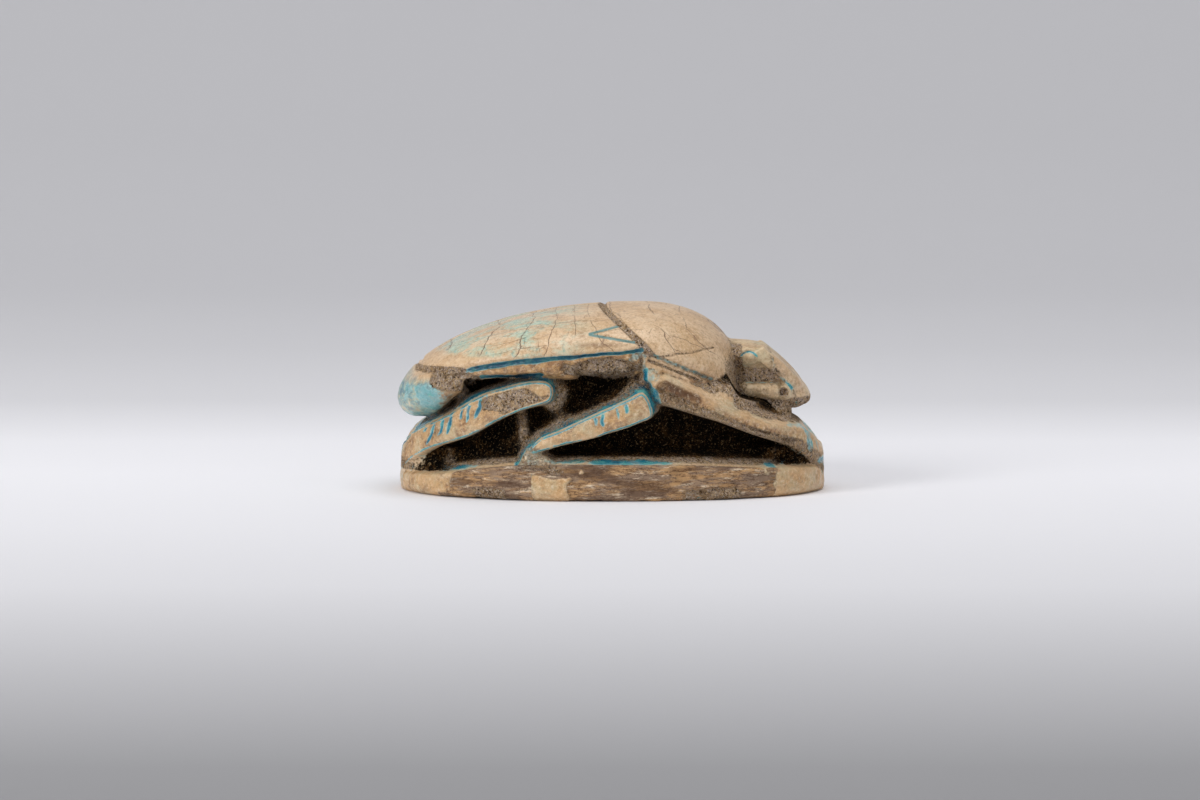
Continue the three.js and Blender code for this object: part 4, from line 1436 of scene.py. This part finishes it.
@dataclass(frozen=True)
class GlazedSteatite:
    """Worn glazed steatite: cream skin, turquoise in the cuts, bare stone, dust and painted shade in
    the deep hollows.
    """

    cream: tuple = linear(229, 198, 160)
    bleached: tuple = linear(242, 222, 192)
    sand: tuple = linear(214, 178, 134)
    stain: tuple = linear(150, 108, 70)
    ochre: tuple = linear(204, 158, 98)
    olive: tuple = linear(222, 196, 150)
    brown: tuple = linear(166, 124, 84)
    umber: tuple = linear(92, 62, 42)
    aqua: tuple = linear(176, 212, 192)
    sea: tuple = linear(104, 178, 172)
    tail: tuple = linear(132, 186, 180)
    thin_glaze: tuple = linear(156, 200, 198)
    line_glaze: tuple = linear(84, 140, 140)
    turquoise: tuple = linear(36, 124, 148)
    deep_blue: tuple = linear(12, 54, 80)
    stone: tuple = linear(204, 162, 114)
    stone_grey: tuple = linear(164, 138, 114)
    stone_pale: tuple = linear(244, 222, 192)
    dust: tuple = linear(168, 148, 132)
    dust_brown: tuple = linear(134, 108, 82)
    dust_dark: tuple = linear(38, 26, 18)
    dust_pale: tuple = linear(216, 198, 178)
    lint: tuple = linear(206, 172, 124)
    # painted shade of the deep hollows, and the lint as it shows in that shade
    hollow_shade: tuple = linear(9, 6, 4)
    shaded_lint: tuple = linear(150, 106, 58)
    crack: tuple = linear(104, 66, 44)

    def material(self, name: str) -> bpy.types.Material:
        """Build the material.

        Args:
            name: The material's name.

        Returns:
            The material, which reads the skin's vertex marks.
        """
        g = Graph(name)
        place = g.place()
        marks = {
            mark: g.mark(mark)
            for mark in (
                "glaze", "dust", "deep", "bare", "ochre", "brown", "umber", "olive", "patina",
                "edge", "cavity", "tint", "crack_u", "crack_v", "crackable",
            )
        }  # fmt: skip
        fine = g.noise(place, 5.5, 5.0, 0.8)
        middle = g.noise(place, 2.4, 6.0, 0.65)
        colour = self._cream(g, place, fine, marks)
        cracks = self._cracks(g, place, marks)
        colour = g.blend(cracks, colour, self.crack)
        colour = g.blend(self._shoulder_mark(g, place, fine), colour, self.line_glaze)
        glaze = self._broken(g, marks["glaze"], middle, 0.45)
        colour = g.blend(glaze, colour, self._glaze(g, fine, marks))
        bare = self._broken(g, marks["bare"], middle, 0.3)
        colour = g.blend(bare, colour, self._stone(g, fine, marks))
        grain = g.noise(place, 7.5, 4.0, 0.8)
        dust = self._broken(g, marks["dust"], grain, 0.75)
        lint = self._lint(g)
        colour = g.blend(dust, colour, self._dust(g, place, lint, marks))
        g.feed(g.shader.inputs["Base Color"], colour)
        rough = g.between(g.noise(place, 1.2, 5.0), 0.3, 0.46)
        rough = g.between(g.math("MULTIPLY", marks["patina"], 0.6), rough, 0.2)
        rough = g.between(marks["brown"], rough, 0.6)
        rough = g.between(glaze, rough, 0.27)
        rough = g.between(bare, rough, 0.85)
        rough = g.between(dust, rough, 0.96)
        g.feed(g.shader.inputs["Roughness"], rough)
        g.feed(g.shader.inputs["Specular IOR Level"], g.between(dust, 0.5, 0.06))
        self._relief(g, place, fine, cracks, bare, dust, lint, marks)
        return g.material

    @staticmethod
    def _shoulder_mark(g: Graph, place: Socket, fine: Socket) -> Socket:
        """Draw the thin V that marks the wing case's shoulder."""
        parts = g.put("ShaderNodeSeparateXYZ")
        g.feed(parts.inputs[0], place)
        flat = g.put("ShaderNodeCombineXYZ")
        g.feed(flat.inputs["X"], parts.outputs["X"])
        g.feed(flat.inputs["Y"], parts.outputs["Z"])
        wander = g.math("MULTIPLY", g.math("SUBTRACT", fine, 0.5), 0.1)
        upper = g.segment(flat.outputs[0], (-1.09, 8.38), (0.55, 8.78))
        lower = g.segment(flat.outputs[0], (-1.09, 8.34), (1.3, 7.95))
        away = g.math("ADD", g.math("MINIMUM", upper, lower), wander)
        on_back = g.rise(parts.outputs["Z"], 7.7, 7.8)
        return g.math("MULTIPLY", g.math("MULTIPLY", g.near(away, 0.035, 0.05), on_back), 0.85)

    @staticmethod
    def _broken(g: Graph, mark: Socket, noise: Socket, strength: float) -> Socket:
        """Break a mark's edge up with noise."""
        shifted = g.math("ADD", mark, g.math("MULTIPLY", g.math("SUBTRACT", noise, 0.5), strength * 2))
        present = g.rise(mark, 0.02, 0.2)
        return g.math("MULTIPLY", g.rise(shifted, 0.34, 0.62), present)

    def _cream(self, g: Graph, place: Socket, fine: Socket, marks: dict[str, Socket]) -> Socket:
        """Colour the worn skin, with stains and washes of pale glaze."""
        along = g.place((0.6, 1.0, 0.9))
        upright = g.place((1.6, 1.0, 0.35))
        colour = g.blend(g.rise(g.noise(place, 0.5, 5.0), 0.36, 0.62), self.cream, self.sand)
        colour = g.blend(g.math("MULTIPLY", marks["ochre"], 0.8), colour, self.ochre)
        colour = g.blend(g.math("MULTIPLY", marks["olive"], 0.6), colour, self.olive)
        wash = g.rise(g.noise(along, 0.9, 7.0, 0.66), 0.42, 0.62)
        wash = g.math("MULTIPLY", wash, marks["patina"])
        colour = g.blend(g.math("MULTIPLY", wash, 0.8), colour, self.aqua)
        streaks = g.rise(g.noise(upright, 3.0, 6.0, 0.7), 0.52, 0.64)
        streaks = g.math("MULTIPLY", streaks, g.rise(wash, 0.1, 0.7))
        colour = g.blend(g.math("MULTIPLY", streaks, 0.7), colour, self.sea)
        brush = g.noise(g.place((0.8, 1.0, 1.6)), 1.5, 7.0, 0.7)
        tint = g.math("MULTIPLY", marks["tint"], g.between(g.rise(brush, 0.36, 0.5), 0.35, 1.0))
        colour = g.blend(tint, colour, g.blend(g.rise(brush, 0.44, 0.6), self.tail, self.turquoise))
        brown = g.math("MULTIPLY", g.rise(g.noise(place, 3.0, 6.0, 0.75), 0.4, 0.58), marks["brown"])
        colour = g.blend(brown, colour, self.brown)
        umber = g.math("ADD", marks["umber"], g.math("SUBTRACT", fine, 0.5), True)
        umber = g.math("MULTIPLY", umber, g.rise(marks["umber"], 0.02, 0.3))
        colour = g.blend(umber, colour, self.umber)
        pits = g.rise(g.noise(place, 4.2, 6.0, 0.75), 0.5, 0.6)
        pits = g.math("MULTIPLY", pits, g.between(marks["brown"], 0.12, 0.8))
        colour = g.blend(pits, colour, self.umber)
        stains = g.rise(g.noise(place, 1.5, 8.0, 0.7), 0.52, 0.72)
        colour = g.blend(g.math("MULTIPLY", stains, 0.42), colour, self.stain)
        halo = g.near(g.math("PINGPONG", marks["crack_u"], 0.5), 0.0, 0.16)
        halo = g.math("MULTIPLY", halo, g.math("MULTIPLY", marks["crackable"], stains))
        colour = g.blend(g.math("MULTIPLY", halo, 0.5), colour, self.stain)
        colour = g.blend(g.math("MULTIPLY", g.rise(fine, 0.5, 0.64), 0.55), colour, self.stain)
        colour = g.blend(g.math("MULTIPLY", g.rise(fine, 0.48, 0.36), 0.5), colour, self.bleached)
        return g.blend(g.math("MULTIPLY", marks["edge"], 0.45), colour, self.cream)

    def _cracks(self, g: Graph, place: Socket, marks: dict[str, Socket]) -> Socket:
        """Draw the long cracks, and a finer net between them."""
        sway = g.math("MULTIPLY", g.math("SUBTRACT", g.noise(place, 1.1, 6.0, 0.6), 0.5), 0.3)
        lines = g.math("PINGPONG", g.math("ADD", marks["crack_u"], sway), 0.5)
        kept = g.rise(g.noise(place, 0.42, 2.0), 0.36, 0.46)
        long = g.math("MULTIPLY", g.near(lines, 0.005, 0.014), kept)
        lines = g.math("PINGPONG", g.math("ADD", marks["crack_v"], sway), 0.5)
        kept = g.rise(g.noise(g.place((1.1, 0.9, 0.8)), 0.5, 3.0), 0.47, 0.56)
        cross = g.math("MULTIPLY", g.near(lines, 0.006, 0.012), kept)
        net = g.near(g.cells(g.place((1.0, 0.7, 0.75)), 1.35), 0.004, 0.02)
        net = g.math("MULTIPLY", net, g.rise(g.noise(place, 0.9, 4.0), 0.52, 0.62))
        both = g.math("MAXIMUM", long, g.math("MAXIMUM", cross, g.math("MULTIPLY", net, 0.7)))
        both = g.math("MULTIPLY", both, marks["crackable"])
        return g.math("MULTIPLY", both, 0.8)

    def _glaze(self, g: Graph, fine: Socket, marks: dict[str, Socket]) -> Socket:
        """Colour the glaze, darker where it lies thick in the cuts."""
        tone = g.noise(g.place((0.9, 1.0, 1.2)), 2.2, 6.0, 0.65)
        full = g.blend(g.rise(tone, 0.44, 0.66), self.turquoise, self.sea)
        strength = g.math("ADD", marks["glaze"], g.math("SUBTRACT", tone, 0.5))
        colour = g.blend(g.rise(strength, 0.45, 0.8), self.thin_glaze, full)
        thick = g.math("MULTIPLY", marks["cavity"], g.rise(strength, 0.4, 0.75))
        thick = g.math("ADD", thick, g.math("MULTIPLY", g.rise(tone, 0.46, 0.34), 0.6), True)
        colour = g.blend(g.math("MULTIPLY", thick, 0.85), colour, self.deep_blue)
        return g.blend(g.math("MULTIPLY", g.rise(fine, 0.52, 0.7), 0.45), colour, self.dust_dark)

    def _stone(self, g: Graph, fine: Socket, marks: dict[str, Socket]) -> Socket:
        """Colour the bare stone of the eroded band."""
        layered = g.place((0.2, 0.2, 1.1))
        bands = g.noise(layered, 2.4, 7.0, 0.72)
        colour = g.blend(g.rise(bands, 0.44, 0.56), self.stone, self.stone_grey)
        colour = g.blend(g.rise(g.noise(layered, 4.0, 5.0, 0.7), 0.54, 0.64), colour, self.stone_pale)
        seams = g.math("ABSOLUTE", g.math("SUBTRACT", g.noise(layered, 3.0, 6.0, 0.75), 0.5))
        colour = g.blend(g.math("MULTIPLY", g.near(seams, 0.008, 0.03), 0.75), colour, self.umber)
        colour = g.blend(g.math("MULTIPLY", marks["umber"], 0.8), colour, self.umber)
        return g.blend(g.math("MULTIPLY", g.rise(fine, 0.52, 0.68), 0.65), colour, self.umber)

    def _lint(self, g: Graph) -> Socket:
        """Draw fine tangled fibres."""
        fibres = None
        for stretch, scale, level in (
            ((1.0, 1.2, 0.9), 2.1, 0.5), ((0.8, 1.0, 1.4), 2.9, 0.46), ((1.5, 0.9, 0.8), 2.4, 0.54),
            ((1.1, 1.4, 1.2), 3.6, 0.5),
        ):  # fmt: skip
            noise = g.noise(g.place(stretch), scale, 2.0, 0.5)
            line = g.near(g.math("ABSOLUTE", g.math("SUBTRACT", noise, level)), 0.008, 0.012)
            fibres = line if fibres is None else g.math("MAXIMUM", fibres, line)
        return fibres

    def _dust(self, g: Graph, place: Socket, lint: Socket, marks: dict[str, Socket]) -> Socket:
        """Colour the dust, with dark and pale grains and lint, and painted shade, near black with dim
        lint, in the deep hollows.
        """
        lumps = g.noise(place, 1.6, 6.0, 0.7)
        specks = g.noise(place, 9.0, 3.0, 0.7)
        grains = g.noise(g.place((1.1, 0.9, 1.0)), 6.0, 3.0, 0.75)
        colour = g.blend(g.rise(lumps, 0.42, 0.62), self.dust, self.dust_brown)
        colour = g.blend(g.math("MULTIPLY", g.rise(grains, 0.5, 0.57), 0.9), colour, self.dust_dark)
        colour = g.blend(g.math("MULTIPLY", g.rise(specks, 0.53, 0.58), 0.85), colour, self.dust_pale)
        colour = g.blend(g.math("MULTIPLY", lint, 0.6), colour, self.lint)
        # Painted shade in the deep hollows: near black, with the lint dimmer the deeper it lies.
        seen = g.math("MULTIPLY", lint, g.rise(lumps, 0.42, 0.6))
        seen = g.math("MULTIPLY", seen, g.between(marks["deep"], 1.0, 0.16))
        shaded_depths = g.blend(seen, self.hollow_shade, self.shaded_lint)
        specks = g.math("MULTIPLY", g.rise(specks, 0.58, 0.63), g.between(marks["deep"], 0.8, 0.25))
        shaded_depths = g.blend(specks, shaded_depths, self.lint)
        dark = g.math("ADD", marks["deep"], g.math("MULTIPLY", g.math("SUBTRACT", lumps, 0.5), 0.8))
        return g.blend(g.rise(dark, 0.05, 0.75), colour, shaded_depths)

    def _relief(
        self,
        g: Graph,
        place: Socket,
        fine: Socket,
        cracks: Socket,
        bare: Socket,
        dust: Socket,
        lint: Socket,
        marks: dict[str, Socket],
    ) -> None:
        """Add the relief that is finer than the mesh."""
        worn = g.math("ADD", g.math("MULTIPLY", marks["brown"], 0.05), 0.005)
        height = g.math("MULTIPLY", fine, g.math("ADD", worn, g.math("MULTIPLY", dust, 0.07)))
        pits = g.math("MULTIPLY", g.noise(place, 4.0, 6.0, 0.7), g.math("MULTIPLY", bare, 0.16))
        height = g.math("ADD", height, pits)
        height = g.math("ADD", height, g.math("MULTIPLY", g.math("MULTIPLY", lint, dust), 0.02))
        height = g.math("SUBTRACT", height, g.math("MULTIPLY", cracks, 0.02))
        node = g.put("ShaderNodeBump")
        node.inputs["Strength"].default_value = 1.0
        node.inputs["Distance"].default_value = MM
        g.feed(node.inputs["Height"], height)
        g.feed(g.shader.inputs["Normal"], node.outputs[0])


@dataclass(frozen=True)
class Studio:
    """A pale sweep with soft lights, and a long lens at the height of a table."""

    gap: float = 0.00001
    sky: tuple[float, float, float, float] = (0.94, 0.95, 1.0, 1.0)
    sky_strength: float = 0.3
    elevation: float = 4.7
    distance: float = 0.3
    lens: float = 174.3
    aim: tuple[float, float, float] = (-0.00057, 0.0, 0.00453)
    # painted shade on the paper: brightness stops along Y plus Z in millimetres, brightest close to the
    # part
    painted_shade_stops: tuple[Station, ...] = (
        (-140.0, 0.22), (-100.0, 0.32), (-75.0, 0.52), (-45.0, 0.77), (-20.0, 0.88), (8.0, 0.97),
        (27.0, 0.94), (55.0, 0.76), (100.0, 0.69), (160.0, 0.66), (220.0, 0.6), (400.0, 0.55),
    )  # fmt: skip

    def build(self) -> None:
        """Set up the floor, the lights and the camera."""
        self._sweep()
        self._lights()
        self._camera()

    def _sweep(self) -> None:
        """Lay a floor that curves up into a wall behind the part."""
        radius, back, wide, tall = 0.12, 0.16, 0.8, 0.6
        line = [(-0.7, 0.0), (-0.2, 0.0), (0.0, 0.0), (back, 0.0)]
        for i in range(1, 13):
            angle = math.pi / 2 * i / 12
            line.append((back + radius * math.sin(angle), radius * (1 - math.cos(angle))))
        line.append((back + radius, tall))
        points = [(x, y, z - self.gap) for y, z in line for x in (-wide, wide)]
        faces = [(2 * i, 2 * i + 1, 2 * i + 3, 2 * i + 2) for i in range(len(line) - 1)]
        mesh = bpy.data.meshes.new("sweep")
        mesh.from_pydata(points, [], faces)
        mesh.shade_smooth()
        sweep = bpy.data.objects.new("sweep", mesh)
        bpy.context.scene.collection.objects.link(sweep)
        mesh.materials.append(self._paper())

    def _paper(self) -> bpy.types.Material:
        """Make the pale paper, with painted shade that darkens it away from the part to the front and
        the rear.
        """
        g = Graph("paper")
        parts = g.put("ShaderNodeSeparateXYZ")
        g.feed(parts.inputs[0], g.place())
        shade = g.put("ShaderNodeMapRange")
        g.feed(shade.inputs[0], g.math("ADD", parts.outputs["Y"], parts.outputs["Z"]))
        low, high = self.painted_shade_stops[0][0], self.painted_shade_stops[-1][0]
        shade.inputs[1].default_value = low
        shade.inputs[2].default_value = high
        ramp = g.put("ShaderNodeValToRGB")
        g.feed(ramp.inputs[0], shade.outputs[0])
        stops = ramp.color_ramp.elements
        for i, (place, level) in enumerate(self.painted_shade_stops):
            at = (place - low) / (high - low)
            stop = stops[i] if i < 2 else stops.new(at)
            stop.position = at
            stop.color = (level * 0.985, level * 0.98, level * 1.01, 1.0)
        g.feed(g.shader.inputs["Base Color"], ramp.outputs[0])
        g.shader.inputs["Roughness"].default_value = 0.8
        return g.material

    def _lights(self) -> None:
        """Hang the soft lights and the even light all round."""
        self._panel("top", (0.03, -0.04, 0.45), 0.4, 1.1)
        self._panel("left", (-0.3, -0.26, 0.2), 0.16, 0.8)
        self._panel("right", (0.32, -0.25, 0.2), 0.25, 0.1)
        world = bpy.data.worlds.new("studio")
        world.use_nodes = True
        background = world.node_tree.nodes["Background"]
        background.inputs["Color"].default_value = self.sky
        background.inputs["Strength"].default_value = self.sky_strength
        bpy.context.scene.world = world
        bpy.context.scene.view_settings.view_transform = "Standard"

    def _panel(self, name: str, at: tuple[float, float, float], size: float, power: float) -> None:
        """Hang one square light that faces the part."""
        data = bpy.data.lights.new(name, "AREA")
        data.size = size
        data.energy = power
        light = bpy.data.objects.new(name, data)
        light.location = at
        light.rotation_euler = (-Vector(at)).to_track_quat("-Z", "Y").to_euler()
        bpy.context.scene.collection.objects.link(light)

    def _camera(self) -> None:
        """Place the camera."""
        data = bpy.data.cameras.new("camera")
        data.lens = self.lens
        data.sensor_width = 36.0
        data.clip_start = 0.01
        data.clip_end = 10.0
        camera = bpy.data.objects.new("camera", data)
        tilt = math.radians(self.elevation)
        aim = Vector(self.aim)
        camera.location = aim + self.distance * Vector((0.0, -math.cos(tilt), math.sin(tilt)))
        camera.rotation_euler = (aim - camera.location).to_track_quat("-Z", "Y").to_euler()
        bpy.context.scene.collection.objects.link(camera)
        bpy.context.scene.camera = camera


def main() -> None:
    """Build the amulet and its studio, and report each piece."""
    logging.basicConfig(level=logging.INFO, format="%(message)s")
    Studio().build()
    carving = Carving(FINE_STEP)
    thing = Skin(carving).build(PIECE)
    thing.data.materials.append(GlazedSteatite().material(SLOT))
    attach(thing, "root")
    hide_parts(NODE)
    log.info("%s: %d faces", PIECE, len(thing.data.polygons))


if __name__ == "__main__":
    main()
